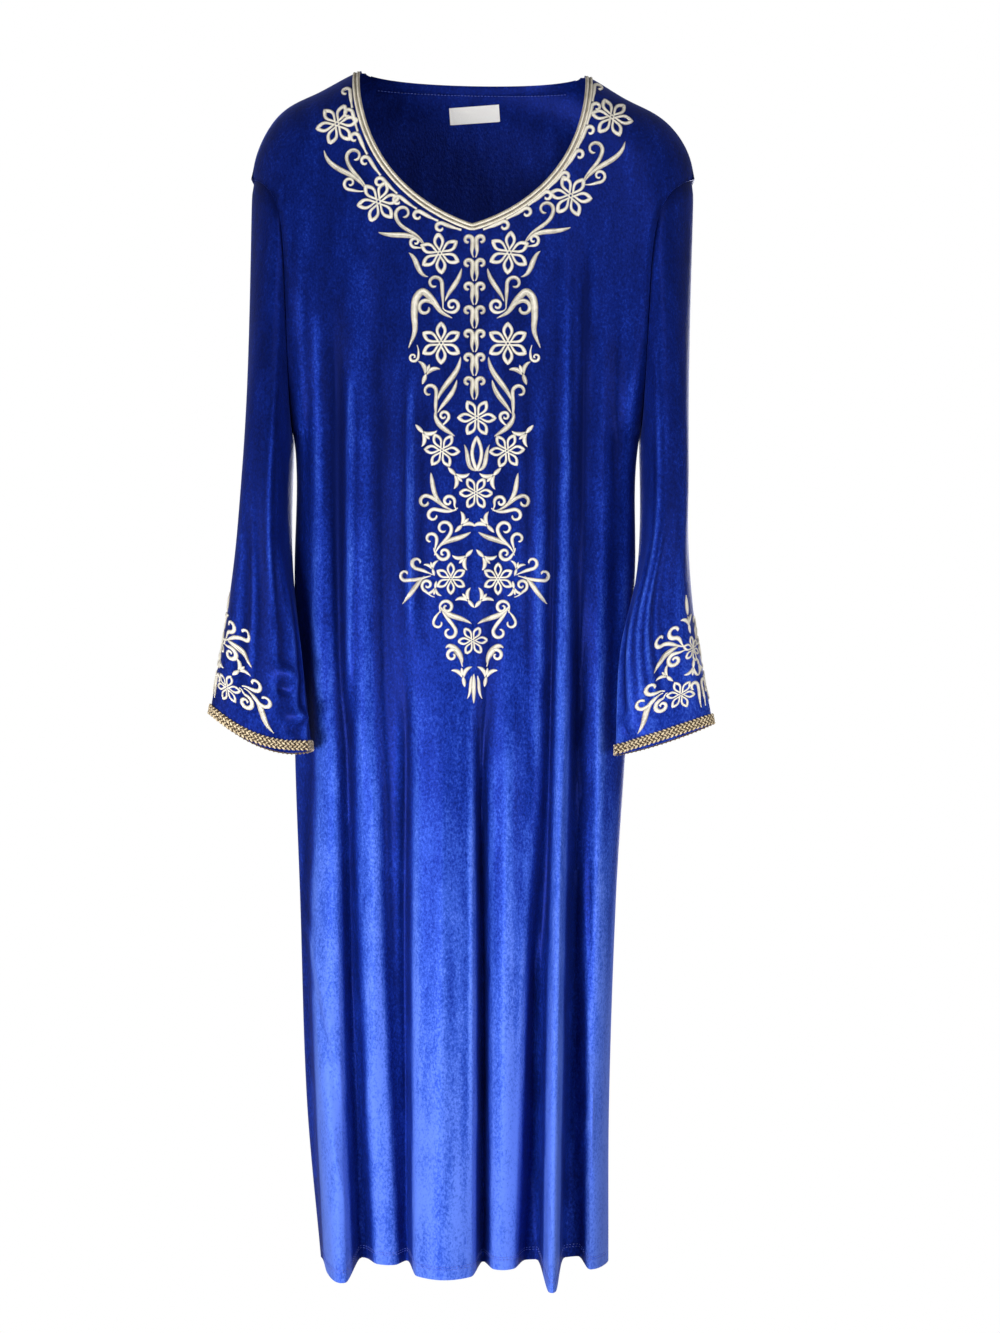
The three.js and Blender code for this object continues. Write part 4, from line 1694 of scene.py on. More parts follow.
@dataclass(frozen=True)
class Ribbon:
    """A wide split stem that winds through several places and tapers at both ends."""

    places: tuple[Spot, ...]
    width: float

    def strokes(self) -> list[Stroke]:
        """Draws the ribbon.

        Returns:
            Its single stroke.
        """
        given = np.array(self.places, float)
        given = np.concatenate([[2.0 * given[0] - given[1]], given, [2.0 * given[-1] - given[-2]]])
        t = np.linspace(0.0, 1.0, 12, endpoint=False)
        spans = [span_curve(*given[k : k + 4], t) for k in range(len(self.places) - 1)]
        line = np.concatenate([*spans, given[-2:-1]])
        half = self.width / 2.0 * np.maximum(np.sin(math.pi * shares_of(line)) ** 0.6, 0.1)
        return [Stroke(line, half, True)]


Motif = Tendril | Blade | Flower | Bud | Tulip | Ribbon

# The right half of the front's embroidery, which is sewn a second time, mirrored, on the left:
# x from its middle line, and y as the height z, in millimetres.
WINDING_STEM = (
    *((24, -226), (36, -219), (47, -204), (56, -197)),
    *((63, -204), (65, -221), (64.5, -240), (71, -258)),
)
PAIRED_MOTIFS: tuple[Motif, ...] = (
    # Shoulders
    Flower((149, -10), 23.5, -9),
    Flower((104, -96), 23.5, -9),
    Tendril((116, -84), 70, (130, -46), 8.5, -10, 290, 4.6),
    Blade((163, -38), -100, (119, -81), -120, 5.4),
    Tendril((118, -84), -10, (135, -75), 7.0, -80, 400, 3.8),
    Tendril((54, -146), 70, (77, -110), 8.5, -10, 290, 4.6),
    Blade((104, -130), 200, (56, -144), 230, 5.4),
    Tendril((55, -148), -20, (64, -142), 6.2, -90, 420, 3.8),
    Flower((37.5, -155), 23, 85),
    # Breast
    Blade((71, -154), 215, (50, -181), 190, 5.4),
    Tendril((34, -216), 90, (43, -188), 8.0, 180, -300, 4.6),
    Blade((14, -172), -80, (32, -208), -70, 5.0),
    Tendril((34, -214), -95, (24, -212), 8.0, -70, -460, 4.4),
    Ribbon(WINDING_STEM, 7.4),
    Tendril((31, -222), 35, (53, -215), 8.4, 100, -300, 5.0),
    Flower((36, -253), 23, 90),
    Tendril((62, -255), -110, (66, -268), 5.2, 190, 430, 3.4),
    Bud((51, -283), 110, 25),
    # Waist
    Tendril((40, -337), 75, (48.5, -305), 7.4, 180, -290, 4.6),
    Blade((15, -268), -85, (41, -318), -75, 5.6),
    Blade((19, -293), -80, (40, -329), -60, 5.0),
    Blade((43, -328), -95, (21, -354), 215, 5.4),
    Tendril((38, -343), 165, (33, -332), 5.8, 215, -400, 3.8),
    Flower((35, -369), 19.5, 5),
    Bud((53, -352), 225, 24),
    Bud((18, -398), 225, 24),
    Blade((47, -393), -100, (33, -428), 215, 5.0),
    Tendril((21, -434), 10, (53, -424), 6.8, 110, -290, 4.6),
    Tendril((20, -434), 100, (28, -424), 7.0, 200, -420, 4.0),
    Tendril((18, -431), -40, (44, -439), 6.8, 100, -290, 4.4),
    Bud((11, -447), 135, 23),
    Tendril((43, -482), 105, (33, -453), 8.4, 200, -330, 4.4),
    Tendril((43, -478), 95, (47, -464), 6.4, 180, -270, 4.0),
    Blade((4, -457), -35, (39, -473), -40, 5.4),
    Tendril((44, -474), -90, (33, -480), 7.2, -30, -430, 4.2),
    Bud((12, -486), -45, 23),
    Flower((25.5, -507), 17.5, 90),
    Bud((9, -528), 50, 22),
    # Widest sprays
    Bud((46, -494), 75, 17),
    Bud((43, -520), -80, 17),
    Tendril((45, -503), 25, (62, -490), 6.4, -80, 270, 4.2),
    Tendril((47, -504), -15, (75, -503), 6.0, -90, 260, 4.2),
    Blade((54, -504), -45, (78, -534), -45, 4.8),
    Tendril((43, -527), 10, (51, -514), 6.6, -60, 420, 3.8),
    # Foot of the embroidery
    Tendril((37, -544), 85, (30, -538), 7.4, 30, 430, 4.0),
    Blade((38, -536), -120, (3, -556), -145, 5.6),
    Tendril((37, -537), -110, (27, -565), 7.2, 150, 300, 4.4),
    Tendril((36, -541), -50, (39, -555), 5.6, 20, -230, 3.4),
    Blade((31, -582), 120, (14, -600), -75, 6.6, 0.2),
    Tendril((13, -602), 70, (24, -590), 7.0, 150, -400, 4.2),
    Bud((13, -610), 80, 23),
    Blade((3, -612), -75, (8, -637), -60, 3.2),
)
SINGLE_MOTIFS: tuple[Motif, ...] = (
    Flower((2.5, -334), 21, 0),
    Tulip((2.5, -391), 36),
    Flower((1.5, -415), 18.5, 0),
    Flower((-2, -574), 16.5, 3),
    Blade((-1, -610), -90, (-1, -642), -90, 4.4),
)
# One side of a cuff's embroidery: x round the sleeve from its middle line, and y up from the plait.
CUFF_PAIRS: tuple[Motif, ...] = (
    Flower((22, 25), 14, 20),
    Tendril((33, 32), 20, (41, 22), 6.8, 100, -470, 4.4),
    Tendril((35, 35), 40, (46, 44), 5.8, -60, 270, 4.2),
    Tendril((37, 34), 10, (57, 33), 5.8, -90, 250, 4.2),
    Blade((44, 34), -25, (68, 3), -35, 5.4),
    Bud((31, 50), 60, 18),
    Tendril((8, 64), 10, (20, 59), 6.4, 110, -470, 4.2),
    Tendril((10, 68), 60, (15, 85), 5.8, -80, 280, 4.2),
    Tendril((10, 68), 25, (29, 85), 5.8, -90, 270, 4.2),
    Blade((14, 70), 0, (41, 58), -45, 5.2),
    Bud((6, 43), -70, 17),
    Tendril((4, 6), 85, (8, 27), 5.0, 180, -240, 4.2),
)
CUFF_SINGLES: tuple[Motif, ...] = (
    Flower((0, 62), 12.5, 30),
    Bud((0, 88), 90, 18),
    Blade((0, 94), 90, (0, 112), 90, 4.0),
)


@dataclass(frozen=True)
class Embroidery:
    """Raised satin stitch, laid on the cloth stroke by stroke.

    Attributes:
        height: How far the stitches stand off the cloth.
        step: Length of one face along a stroke.
        fullness: How much wider the strokes are sewn than drawn.
    """

    height: float = 1.5
    step: float = 1.7
    fullness: float = 1.12

    def profile(self, split: bool) -> tuple[Array, Array]:
        """Shapes the cross-section of a stroke.

        Args:
            split: Whether it is sewn as two rows with a groove between them.

        Returns:
            Places across it from -1 to 1, and the share of its height at each.
        """
        if split:
            return (
                np.array([-1.0, -0.85, -0.5, -0.14, 0.0, 0.14, 0.5, 0.85, 1.0]),
                np.array([-0.3, 0.55, 1.0, 0.72, 0.15, 0.72, 1.0, 0.55, -0.3]),
            )
        return np.array([-1.0, -0.8, 0.0, 0.8, 1.0]), np.array([-0.3, 0.55, 1.0, 0.55, -0.3])

    def make(
        self,
        name: str,
        strokes: Sequence[Stroke],
        lay: Callable[[Array, Array, Array], Array],
        material: Material,
    ) -> Piece:
        """Sews the strokes as one piece.

        Args:
            name: The piece's name.
            strokes: What is sewn.
            lay: Gives points on the garment from x, y and height on the flat cloth.
            material: The thread.

        Returns:
            The new object.
        """
        flats = [self.spread(stroke, 0.06 * (order % 5)) for order, stroke in enumerate(strokes)]
        every = np.concatenate([flat.reshape(-1, 3) for flat in flats])
        laid = lay(every[:, 0], every[:, 1], every[:, 2]) * MM
        ends = np.cumsum([flat.shape[0] * flat.shape[1] for flat in flats])
        sewn = bmesh.new()
        uv = sewn.loops.layers.uv.new("UVMap")
        for flat, stroke, points in zip(flats, strokes, np.split(laid, ends[:-1])):
            self.sew(sewn, uv, stroke, points.reshape(flat.shape))
        return new_object(name, mesh_of(name, sewn), material)

    def spread(self, stroke: Stroke, lift: float) -> Array:
        """Widens a stroke on the flat cloth.

        Args:
            stroke: The stroke.
            lift: How far it lies above the cloth.

        Returns:
            X, y and height for each point along and across it.
        """
        shares = shares_of(stroke.line)
        count = max(6, int(length_of(stroke.line) / self.step))
        places, heights = self.profile(stroke.split)
        at = np.linspace(0.0, 1.0, count + 1)
        middle = read_at(stroke.line, shares, at)
        half = np.interp(at, shares, stroke.half) * self.fullness
        run = np.gradient(middle, axis=0)
        run /= np.maximum(np.linalg.norm(run, axis=1, keepdims=True), 1e-9)
        side = joined(-run[:, 1], run[:, 0])
        flat = middle[:, None, :] + side[:, None, :] * (half[:, None] * places[None, :])[..., None]
        full = self.height * np.clip(half / 1.6, 0.45, 1.0)
        up = full[:, None] * heights[None, :] + lift
        return np.concatenate([flat, up[..., None]], -1)

    def sew(self, sewn: bmesh.types.BMesh, uv: object, stroke: Stroke, points: Array) -> None:
        """Adds one stroke as a domed strip.

        Args:
            sewn: What it is added to.
            uv: The layer of its texture places.
            stroke: The stroke.
            points: Its points along and across, in metres.
        """
        count, sides = points.shape[0] - 1, points.shape[1] - 1
        length = length_of(stroke.line) * MM
        made = bmesh.ops.create_grid(sewn, x_segments=count, y_segments=sides, size=0.5)
        for vert in made["verts"]:
            row = round((vert.co.x + 0.5) * count)
            column = round((vert.co.y + 0.5) * sides)
            vert.co = points[row, column]
            for loop in vert.link_loops:
                loop[uv].uv = (row / count * length, column / sides * STROKE_UV)


def chest_strokes() -> list[Stroke]:
    """Gathers the front's embroidery.

    Returns:
        A list of strokes, in x and z on the garment.
    """
    middle = 2.5
    made = []
    for motif in PAIRED_MOTIFS:
        for stroke in motif.strokes():
            made.append(stroke)
            made.append(stroke.mirrored())
    made += [stroke for motif in SINGLE_MOTIFS for stroke in motif.strokes()]
    made += spine_strokes() + scallop_strokes(middle)
    for stroke in made:
        stroke.line = stroke.line + (middle, 0.0)
        # The shoulders are not quite level, and the flowers beside them follow.
        stroke.line[:, 1] += 0.03 * stroke.line[:, 0] * smooth((stroke.line[:, 1] + 190.0) / 80.0)
    return made


def spine_strokes() -> list[Stroke]:
    """Draws the row of paired curls down the middle of the breast.

    Returns:
        A list of strokes, in millimetres.
    """
    top, pitch, count = -138.0, 25.7, 7
    curl = Tendril((0.9, -22.0), 58.0, (6.9, -3.0), 4.9, 172.0, -290.0, 5.4)
    made = []
    for k in range(count):
        for flip in (False, True):
            made += [stroke.turned(0.0, 0.0, top - pitch * k, flip) for stroke in curl.strokes()]
    return made


def scallop_strokes(middle: float) -> list[Stroke]:
    """Draws the row of curls along the neckline's cords.

    Args:
        middle: X of the embroidery's middle.

    Returns:
        A list of strokes, measured from that middle.
    """
    gap, curls, clear, step = 9.0, 8, 8.0, 0.01
    x = np.linspace(NECK_HALF * 0.999, 2.0, 400)
    edge = joined(x, BODY.neckline(x, Side.FRONT))
    shares = shares_of(edge)
    length = length_of(edge)
    pitch = (length - 2.0 * clear) / curls
    curl = Tendril((pitch * 1.04, 0.4), 178.0, (5.8, 6.0), 5.2, -90.0, -300.0, 4.8)
    made = []
    for k in range(curls):
        for stroke in curl.strokes():
            place = (clear + k * pitch + stroke.line[:, 0]) / length
            at = read_at(edge, shares, place)
            run = read_at(edge, shares, place + step) - read_at(edge, shares, place - step)
            run = unit(run)
            out = joined(-run[:, 1], run[:, 0])
            line = at + out * (gap + stroke.line[:, 1])[:, None]
            half = np.maximum(stroke.half, 1.3 * (1.0 - smooth(shares_of(line) / 0.5)))
            for hand in (1.0, -1.0):
                made.append(Stroke(line * (hand, 1.0) - (middle, 0.0), half))
    return made


@dataclass(frozen=True)
class NeckCords:
    """Two satin cords couched side by side along the front neckline.

    Attributes:
        radius: Radius of one cord.
        first: How far below the cut edge the inner cord runs.
        second: How far below it the outer cord runs.
    """

    radius: float = 1.9
    first: float = 1.5
    second: float = 5.7

    def line(self, below: float, height: float, count: int = 420) -> Array:
        """Follows one cord.

        Args:
            below: How far below the neckline's edge it lies.
            height: How far off the cloth its middle lies.
            count: How many points to give.

        Returns:
            An array of points, in millimetres.
        """
        reach = math.acos(5.0 / FRONT_NECK_DROP)
        x = NECK_HALF * np.sin(reach * np.sin(np.linspace(-0.5, 0.5, count) * math.pi))
        step = 0.6
        ahead = np.clip(x + step, -NECK_HALF, NECK_HALF)
        behind = np.clip(x - step, -NECK_HALF, NECK_HALF)
        rise = BODY.neckline(ahead, Side.FRONT) - BODY.neckline(behind, Side.FRONT)
        width = ahead - behind
        size = np.hypot(width, rise)
        px = x + rise / size * below
        pz = BODY.neckline(x, Side.FRONT) - width / size * below
        return BODY.lay(px, pz, np.full(count, height))

    def make(self, material: Material) -> Piece:
        """Builds both cords as one piece."""
        lines = [self.line(below, self.radius * 0.55) for below in (self.first, self.second)]
        return tube("neck_cords", lines, self.radius, material, squash=0.8)


def tube(
    name: str, lines: Sequence[Array], radius: float, material: Material, squash: float = 1.0
) -> Piece:
    """Builds round cords along lines.

    Args:
        name: The piece's name.
        lines: Points in millimetres for each cord.
        radius: The cords' radius.
        material: Their finish. The UV map runs along and round each cord, in metres.
        squash: Their thickness along Y, as a share of their width.

    Returns:
        The new object.
    """
    sides = 12
    cords = bmesh.new()
    uv = cords.loops.layers.uv.new("UVMap")
    for line in lines:
        run = unit(np.gradient(line, axis=0))
        forward = np.array([0.0, -1.0, 0.0])
        side = unit(np.cross(run, forward))
        front = np.cross(side, run)
        length = shares_of(line) * length_of(line)
        count = len(line) - 1
        made = bmesh.ops.create_grid(cords, x_segments=count, y_segments=sides, size=0.5)
        taper = np.sqrt(np.clip(np.minimum(length, length[-1] - length) / radius, 0.02, 1.0))
        for vert in made["verts"]:
            row = round((vert.co.x + 0.5) * count)
            turn = vert.co.y + 0.5
            angle = turn * 2.0 * math.pi
            off = side[row] * math.cos(angle) + front[row] * (math.sin(angle) * squash)
            vert.co = (line[row] + off * radius * taper[row]) * MM
            for loop in vert.link_loops:
                loop[uv].uv = (length[row] * MM, turn * 2.0 * math.pi * radius * MM)
    bmesh.ops.remove_doubles(cords, verts=cords.verts, dist=1e-5)
    bmesh.ops.recalc_face_normals(cords, faces=cords.faces)
    return new_object(name, mesh_of(name, cords), material)


@dataclass(frozen=True)
class CuffPlait:
    """A flat golden plait round a cuff, with four rows of slanted strands.

    Attributes:
        width: Width of the plait.
        strand: Length of one strand that shows.
        pitch: Distance from one strand to the next.
        beyond: How far the plait hangs past the sleeve's edge.
    """

    width: float = 11.0
    strand: float = 5.2
    pitch: float = 5.0
    beyond: float = 1.5

    def make(self, sleeve: Sleeve, material: Material) -> Piece:
        """Builds the plait of one cuff.

        Args:
            sleeve: The sleeve that it belongs to.
            material: Its material.

        Returns:
            The plait.
        """
        name = f"{sleeve.name}_cuff_plait"
        plait = bmesh.new()
        plait.loops.layers.uv.new("UVMap")
        samples, rows, slope, lift = 720, 4, 38.0, 1.5
        strand_half, strand_rise = 1.15, 1.4
        turns = np.linspace(0.0, 1.0, samples + 1)
        points, around, (down, normal) = sleeve.frame_at(turns, np.ones_like(turns))
        lengths = lengths_up_to(points)
        count = round(lengths[-1] / self.pitch)
        for k in range(count):
            for row in range(rows):
                at = (k + 0.5 * (row % 2)) / count * lengths[-1]
                near = int(np.searchsorted(lengths, at)) % samples
                slant = math.radians(slope if row % 2 else -slope)
                long_way = around[near] * math.cos(slant) + down[near] * math.sin(slant)
                cross_way = np.cross(normal[near], long_way)
                reach = self.beyond - self.width * (row + 0.5) / rows
                middle = points[near] + down[near] * reach + normal[near] * lift
                turn = Matrix((long_way, cross_way, normal[near])).transposed().to_4x4()
                size = Matrix.Diagonal((self.strand / 2.0, strand_half, strand_rise, 1.0))
                place = Matrix.Scale(MM, 4) @ Matrix.Translation(middle) @ turn @ size
                bmesh.ops.create_uvsphere(
                    plait, u_segments=8, v_segments=5, radius=1.0, matrix=place, calc_uvs=True
                )
        mesh = mesh_of(name, plait)
        # Each strand gets a painted highlight on top and painted shade where it goes under the next one.
        layer = mesh.uv_layers[0]
        places = np.empty(len(mesh.loops) * 2)
        layer.data.foreach_get("uv", places)
        places = places.reshape(-1, 2) * (0.012, 0.0028) - (0.0, 0.001)
        layer.data.foreach_set("uv", places.ravel())
        return new_object(name, mesh, material)

    def band(self, sleeve: Sleeve, material: Material) -> Piece:
        """Builds the flat dark tape under the strands, as painted shade for the gaps between them.

        Args:
            sleeve: The sleeve that it belongs to.
            material: Its material.

        Returns:
            The tape.
        """
        margin, lift, thick = 0.4, 0.9, 0.7
        foot, height = self.beyond - margin, self.width - 2.0 * margin

        def place(around: Array, down: Array) -> Array:
            """Returns places on the sleeve, within the plait's width."""
            points, _, (low, normal) = sleeve.frame_at(around, np.ones_like(around))
            return points + low * (foot - height * (1.0 - down))[:, None] + normal * lift

        def plan(around: Array, down: Array) -> Array:
            """Returns places on the flat tape."""
            return joined(around * CUFF_GIRTH, down * self.width)

        name = f"{sleeve.name}_cuff_tape"
        mesh = lay_grid(name, 240, 3, place, plan)
        weld(mesh)
        face_outwards(mesh, upright(sleeve.rings[-1].x, sleeve.rings[-1].y))
        piece = new_object(name, mesh, material)
        return settle(piece, wall=thick)


@dataclass(frozen=True)
class BackNeck:
    """The turned facing inside the back neck, and the blank label below it.

    Attributes:
        facing: Height of the facing.
        label_width: Width of the label.
        label_height: Height of the label.
        label_z: Height of the label's middle.
        tilt: How far its right end is raised, in radians.
    """

    facing: float = 9.0
    label_width: float = 57.0
    label_height: float = 19.0
    label_z: float = 28.0
    tilt: float = 0.07

    def make_facing(self, material: Material) -> Piece:
        """Builds the facing as a soft band that rolls over the neckline's edge.

        Args:
            material: Its material.

        Returns:
            The facing.
        """
        roll, thick, breadth = 1.5, 0.8, 230.0

        def place(across: Array, down: Array) -> Array:
            """Lays the band on the back's inner face.

            Args:
                across: Share of the way across.
                down: Share of the way down.

            Returns:
                An array of points, in millimetres.
            """
            x = NECK_HALF * np.sin((across - 0.5) * 2.0 * 1.2)
            below = -roll * 0.5 + (self.facing + roll * 0.5) * down
            z = BODY.neckline(x, Side.BACK) - below
            bulge = 0.9 + 1.1 * np.sin(math.pi * np.clip(down * 1.05, 0.0, 1.0)) ** 0.5
            inside = BODY.lay(x, np.minimum(z, BODY.shoulder_line(x) - 0.2), -CLOTH - bulge, Side.BACK)
            inside[:, 2] = z
            return inside

        def plan(across: Array, down: Array) -> Array:
            """Returns places on the flat band."""
            return joined(across * breadth, down * self.facing)

        mesh = lay_grid("back_neck_band", 160, 8, place, plan)
        face_outwards(mesh, lambda centres: centres + (0.0, 1.0, 0.0))
        piece = new_object("back_neck_band", mesh, material)
        return settle(piece, wall=thick)

    def make_label(self, material: Material) -> Piece:
        """Builds the blank label, with its two ends turned under.

        Args:
            material: Its material.

        Returns:
            The label.
        """
        c, s = math.cos(self.tilt), math.sin(self.tilt)
        thick = 0.4

        def place(across: Array, down: Array) -> Array:
            """Lays the label on the back's inner face, raised at its turned ends.

            Args:
                across: Share of the way across.
                down: Share of the way down.

            Returns:
                An array of points, in millimetres.
            """
            run = (across - 0.5) * self.label_width
            up = (0.5 - down) * self.label_height
            x = 1.0 + run * c - up * s
            z = self.label_z + run * s + up * c
            ends = bell((0.5 - np.abs(across - 0.5)) / 0.03)
            off = 1.1 + 0.7 * ends - 0.25 * np.sin(down * math.pi)
            return BODY.lay(x, z, -CLOTH - off, Side.BACK)

        def plan(across: Array, down: Array) -> Array:
            """Returns places on the flat label."""
            return joined(across * self.label_width, down * self.label_height)

        mesh = lay_grid("blank_label", 60, 16, place, plan)
        face_outwards(mesh, lambda centres: centres + (0.0, 1.0, 0.0))
        piece = new_object("blank_label", mesh, material)
        return settle(piece, wall=thick)


@dataclass(frozen=True)
class Studio:
    """A pale floor, soft light and the camera of the photograph.

    Attributes:
        camera: The camera's place, in metres.
        lens: Its focal length for a long side of 36 mm.
        floor_z: Height of the floor.
    """

    camera: tuple[float, float, float] = (0.030, -2.0, -0.602)
    lens: float = 48.4
    floor_z: float = -1.36

    def make(self) -> None:
        """Builds the studio."""
        self.make_camera()
        self.make_backdrop()
        self.make_light("low_key", (-0.85, -1.45, -1.2), (0.0, 0.0, -1.0), 0.6, 39.0)
        self.make_light("left_strip", (-1.5, -0.7, -0.5), (0.0, 0.0, -0.6), 0.6, 3.0)
        self.make_light("right_strip", (1.3, -1.0, -0.8), (0.1, 0.0, -0.7), 0.5, 9.0)
        self.make_light("high_fill", (0.6, -1.7, 0.6), (0.0, 0.0, -0.3), 0.8, 10.0)
        self.make_light("back_fill", (0.6, 2.0, -0.4), (0.0, 0.0, -0.6), 1.4, 26.0)
        bpy.context.scene.view_settings.view_transform = "Standard"

    def make_camera(self) -> None:
        """Adds the camera, which looks level along Y."""
        data = bpy.data.cameras.new("camera")
        data.lens = self.lens
        data.sensor_width = 36.0
        camera = put("camera", data)
        camera.location = self.camera
        camera.rotation_euler = (math.pi / 2.0, 0.0, 0.0)
        bpy.context.scene.camera = camera

    def make_light(
        self, name: str, place: tuple[float, ...], aim: tuple[float, ...], size: float, power: float
    ) -> None:
        """Adds a square soft light.

        Args:
            name: Its name.
            place: Where it stands.
            aim: What it points at.
            size: The length of its sides.
            power: Its power, in watts.
        """
        data = bpy.data.lights.new(name, "AREA")
        data.size = size
        data.energy = power
        light = put(name, data)
        light.location = place
        light.rotation_mode = "QUATERNION"
        light.rotation_quaternion = (Vector(aim) - Vector(place)).to_track_quat("-Z", "Y")

    def make_backdrop(self) -> None:
        """Adds the floor and a white world that lights the garment only a little."""
        world = bpy.data.worlds.new("studio")
        bpy.context.scene.world = world
        world.use_nodes = True
        tree = world.node_tree
        tree.nodes.clear()
        white, grey = (1.0, 1.0, 1.0, 1.0), (0.5, 0.5, 0.5, 1.0)
        dim = add_node(tree, "Background", {"Strength": 0.13, "Color": white})
        full = add_node(tree, "Background", {"Strength": 1.0, "Color": white})
        show(tree, "OutputWorld", dim, full)
        floor = bmesh.new()
        bmesh.ops.create_circle(floor, cap_ends=True, radius=30.0, segments=64)
        bmesh.ops.translate(floor, verts=floor.verts, vec=(0.0, 0.0, self.floor_z))
        material, tree, _ = new_material("pale_floor")
        tree.nodes.clear()
        # The floor looks white and throws back only a little light, as a far floor would.
        glow = add_node(tree, "Emission", {"Color": white})
        dull = add_node(tree, "BsdfDiffuse", {"Color": grey})
        show(tree, "OutputMaterial", dull, glow)
        new_object("floor", mesh_of("floor", floor), material)


@dataclass(frozen=True)
class Stitches:
    """Rows of machine stitches at the hem and on the facing of the back neck.

    Attributes:
        length: Length of one stitch.
        pitch: Distance from one stitch to the next.
        thick: Half the thread's thickness.
    """

    length: float = 2.8
    pitch: float = 3.8
    thick: float = 0.45

    def hem_row(self, side: Side, above: float) -> Array:
        """Follows a row of stitches above the hem.

        Args:
            side: Which half of the body.
            above: How far above the hem it runs.

        Returns:
            An array of points, in millimetres.
        """
        places, cloth = Panels().hem_places(side)
        across = np.interp(np.linspace(0.02, 0.98, 1200), cloth, places)
        z = np.full_like(across, HEM_Z + above)
        x = BODY.x_at(across, z)
        return BODY.lay(x, z, np.full_like(x, 0.25), side)

    def neck_row(self, below: float) -> Array:
        """Returns the points of a row on the facing of the back neck."""
        x = np.linspace(-NECK_HALF * 0.9, NECK_HALF * 0.9, 300)
        return BODY.lay(x, BODY.neckline(x, Side.BACK) - below, np.full_like(x, -CLOTH - 2.1), Side.BACK)

    def make(self, name: str, rows: Sequence[Array], material: Material) -> Piece:
        """Sews the rows as one piece.

        Args:
            name: Its name.
            rows: The points of each row.
            material: Its material.

        Returns:
            The stitches.
        """
        sewn = bmesh.new()
        for row in rows:
            lengths = shares_of(row) * length_of(row)
            at = np.arange(self.pitch, lengths[-1] - self.pitch, self.pitch)
            middles = read_at(row, lengths, at)
            ahead = read_at(row, lengths, at + 0.5)
            for middle, run in zip(middles, ahead - middles):
                turn = Vector(run).to_track_quat("X", "Z").to_matrix().to_4x4()
                size = Matrix.Diagonal((self.length / 2.0, self.thick, self.thick, 1.0))
                place = Matrix.Scale(MM, 4) @ Matrix.Translation(middle) @ turn @ size
                bmesh.ops.create_icosphere(sewn, subdivisions=1, radius=1.0, matrix=place)
        mesh = mesh_of(name, sewn)
        mesh.uv_layers.new(name="UVMap")
        return new_object(name, mesh, material)


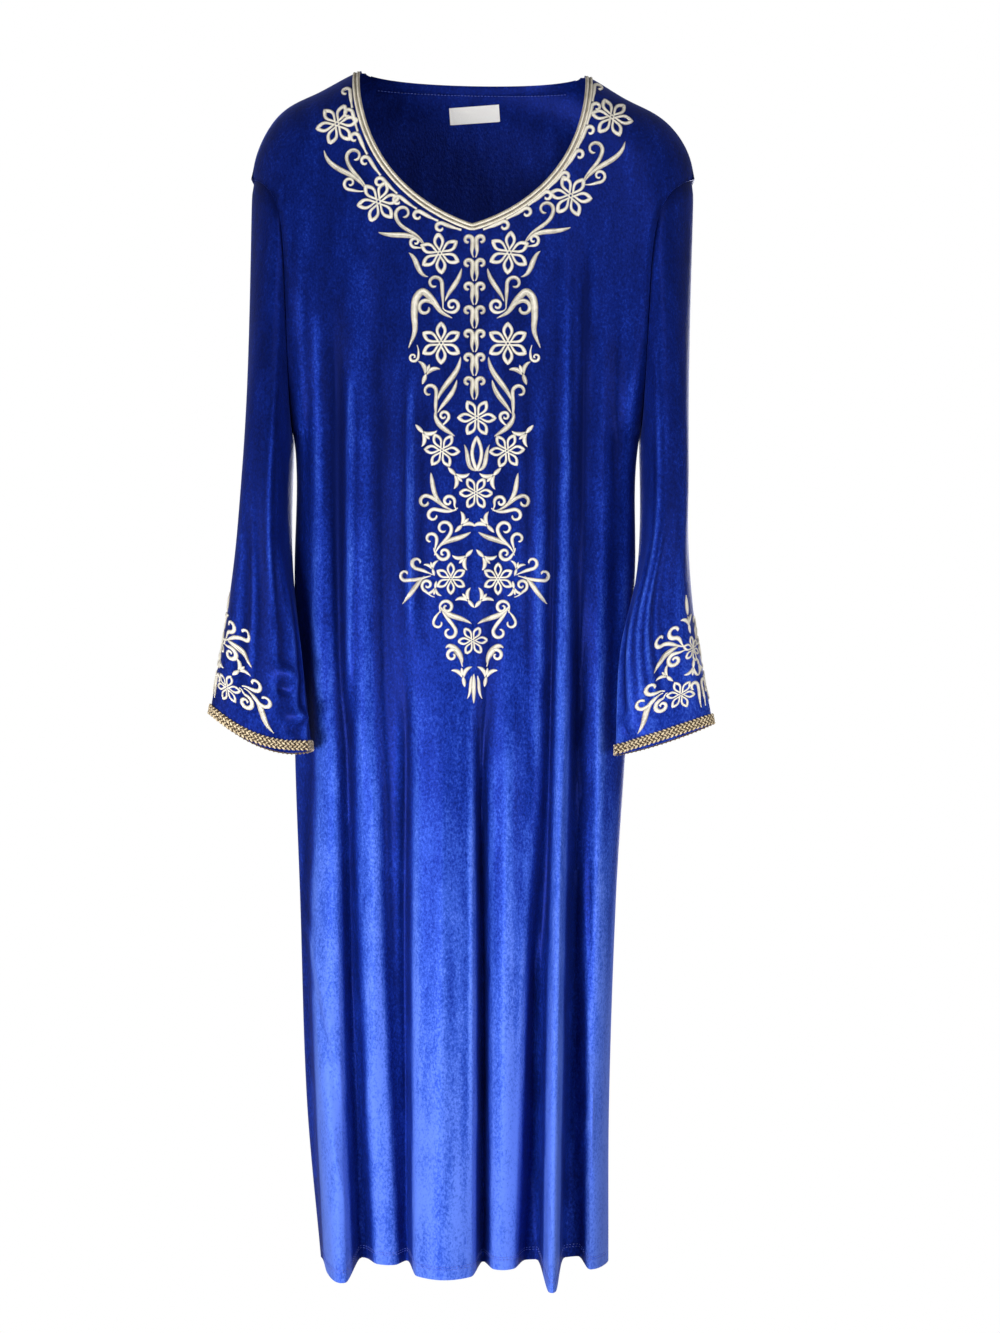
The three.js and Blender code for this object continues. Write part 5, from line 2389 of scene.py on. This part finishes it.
class Kaftan:
    """The whole garment: its finishes and its pieces."""

    def __init__(self) -> None:
        """Makes the finishes."""
        self.velvet = Velvet().make()
        # In each thread finish the first colour is painted shade between rows and at edges, and the
        # second a painted highlight on top.
        self.stitch = Thread("satin_stitch", "#5c4f3a", "#fbf5e6", 0.9).make()
        self.cord = Thread("satin_cord", "#7a6a4c", "#f3ecdb", 1.6, 0.9).make()
        self.gold = Thread("golden_plait", "#6e5026", "#f3dfb8", 1.0).make()
        # The dark tape under each plait is painted shade for the gaps between the strands.
        self.under = Thread("painted_shade_tape", "#2a1c0c", "#4c3419", 1.0).make()
        self.seam = Thread("blue_thread", "#2b43b4", "#5a74e6", 0.8).make()
        self.tape = WovenTape().make()

    def finish(self, piece: Piece, slot: str, *nodes: str) -> Piece:
        """Fixes a piece to the body and hides the solids that it stands for.

        Args:
            piece: The piece.
            slot: Not used.

        Returns:
            The piece.
        """
        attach(piece, BODY_NAME)
        if nodes:
            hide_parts(*nodes)
        piece.data.calc_loop_triangles()
        LOG.info("%s: %d triangles", piece.name, len(piece.data.loop_triangles))
        return piece

    def make_body(self) -> None:
        """Builds the panels and the sleeves."""
        panels = Panels()
        front = self.finish(panels.make(Side.FRONT, self.velvet), "velvet", "front_panel")
        back = self.finish(panels.make(Side.BACK, self.velvet), "velvet", "back_panel")
        for sleeve in SLEEVES:
            cloth = Sleeves().make(sleeve, self.velvet)
            self.finish(cloth, "velvet", f"{sleeve.name}_sleeve")

    def make_trims(self) -> None:
        """Builds the cords, plaits, facing and label."""
        self.finish(NeckCords().make(self.cord), "cream_cord", "neck_braid")
        for sleeve in SLEEVES:
            plait = CuffPlait()
            self.finish(plait.make(sleeve, self.gold), "gold_braid", f"{sleeve.name}_cuff_braid")
            self.finish(plait.band(sleeve, self.under), "gold_braid")
        neck = BackNeck()
        self.finish(neck.make_facing(self.velvet), "velvet", "back_neck_facing")
        self.finish(neck.make_label(self.tape), "label_tape", "neck_label")
        sewing = Stitches()
        rows = [sewing.hem_row(side, above) for side in Side for above in (11.0, 13.5)]
        self.finish(sewing.make("seam_stitches", [*rows, sewing.neck_row(7.8)], self.seam), "velvet")

    def make_embroidery(self) -> None:
        """Sews the front and both cuffs."""
        work = Embroidery()
        front = work.make("front_embroidery", chest_strokes(), BODY.lay, self.stitch)
        face_outwards(front.data, lambda centres: centres * (1.0, 0.0, 1.0))
        self.finish(front, "cream_cord")
        strokes = [stroke for motif in CUFF_PAIRS for stroke in motif.strokes()]
        strokes += [stroke.mirrored() for stroke in strokes]
        strokes += [stroke for motif in CUFF_SINGLES for stroke in motif.strokes()]
        for sleeve in SLEEVES:
            self.finish(self.sew_cuff(work, sleeve, strokes), "cream_cord")

    def sew_cuff(self, work: Embroidery, sleeve: Sleeve, strokes: list[Stroke]) -> Piece:
        """Sews one cuff's embroidery, which runs up from its plait.

        Args:
            work: The embroidery.
            sleeve: The sleeve that it belongs to.
            strokes: Its strokes on the flat cloth.

        Returns:
            The embroidery.
        """
        above_plait, span = 11.0, 345.0

        def lay(x: Array, y: Array, height: Array) -> Array:
            """Lays places of the flat cloth on the sleeve.

            Args:
                x: Place round the cuff.
                y: Height above the plait.
                height: How far off the cloth each point lies.

            Returns:
                An array of points, in millimetres.
            """
            share = 1.0 - (y + above_plait) / span
            taper = mix(0.86, 1.0, smooth((share - 0.6) / 0.4))
            turn = sleeve.ornament - x / (CUFF_GIRTH * taper)
            points, _, (_, normal) = sleeve.frame_at(turn, share)
            return points + normal * height[..., None]

        piece = work.make(f"{sleeve.name}_cuff_embroidery", strokes, lay, self.stitch)
        face_outwards(piece.data, upright(sleeve.rings[-1].x, sleeve.rings[-1].y))
        return piece


def main() -> None:
    """Builds the studio and the garment."""
    logging.basicConfig(level=logging.INFO, format="%(message)s")
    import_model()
    Studio().make()
    kaftan = Kaftan()
    kaftan.make_body()
    kaftan.make_trims()
    kaftan.make_embroidery()


if __name__ == "__main__":
    main()
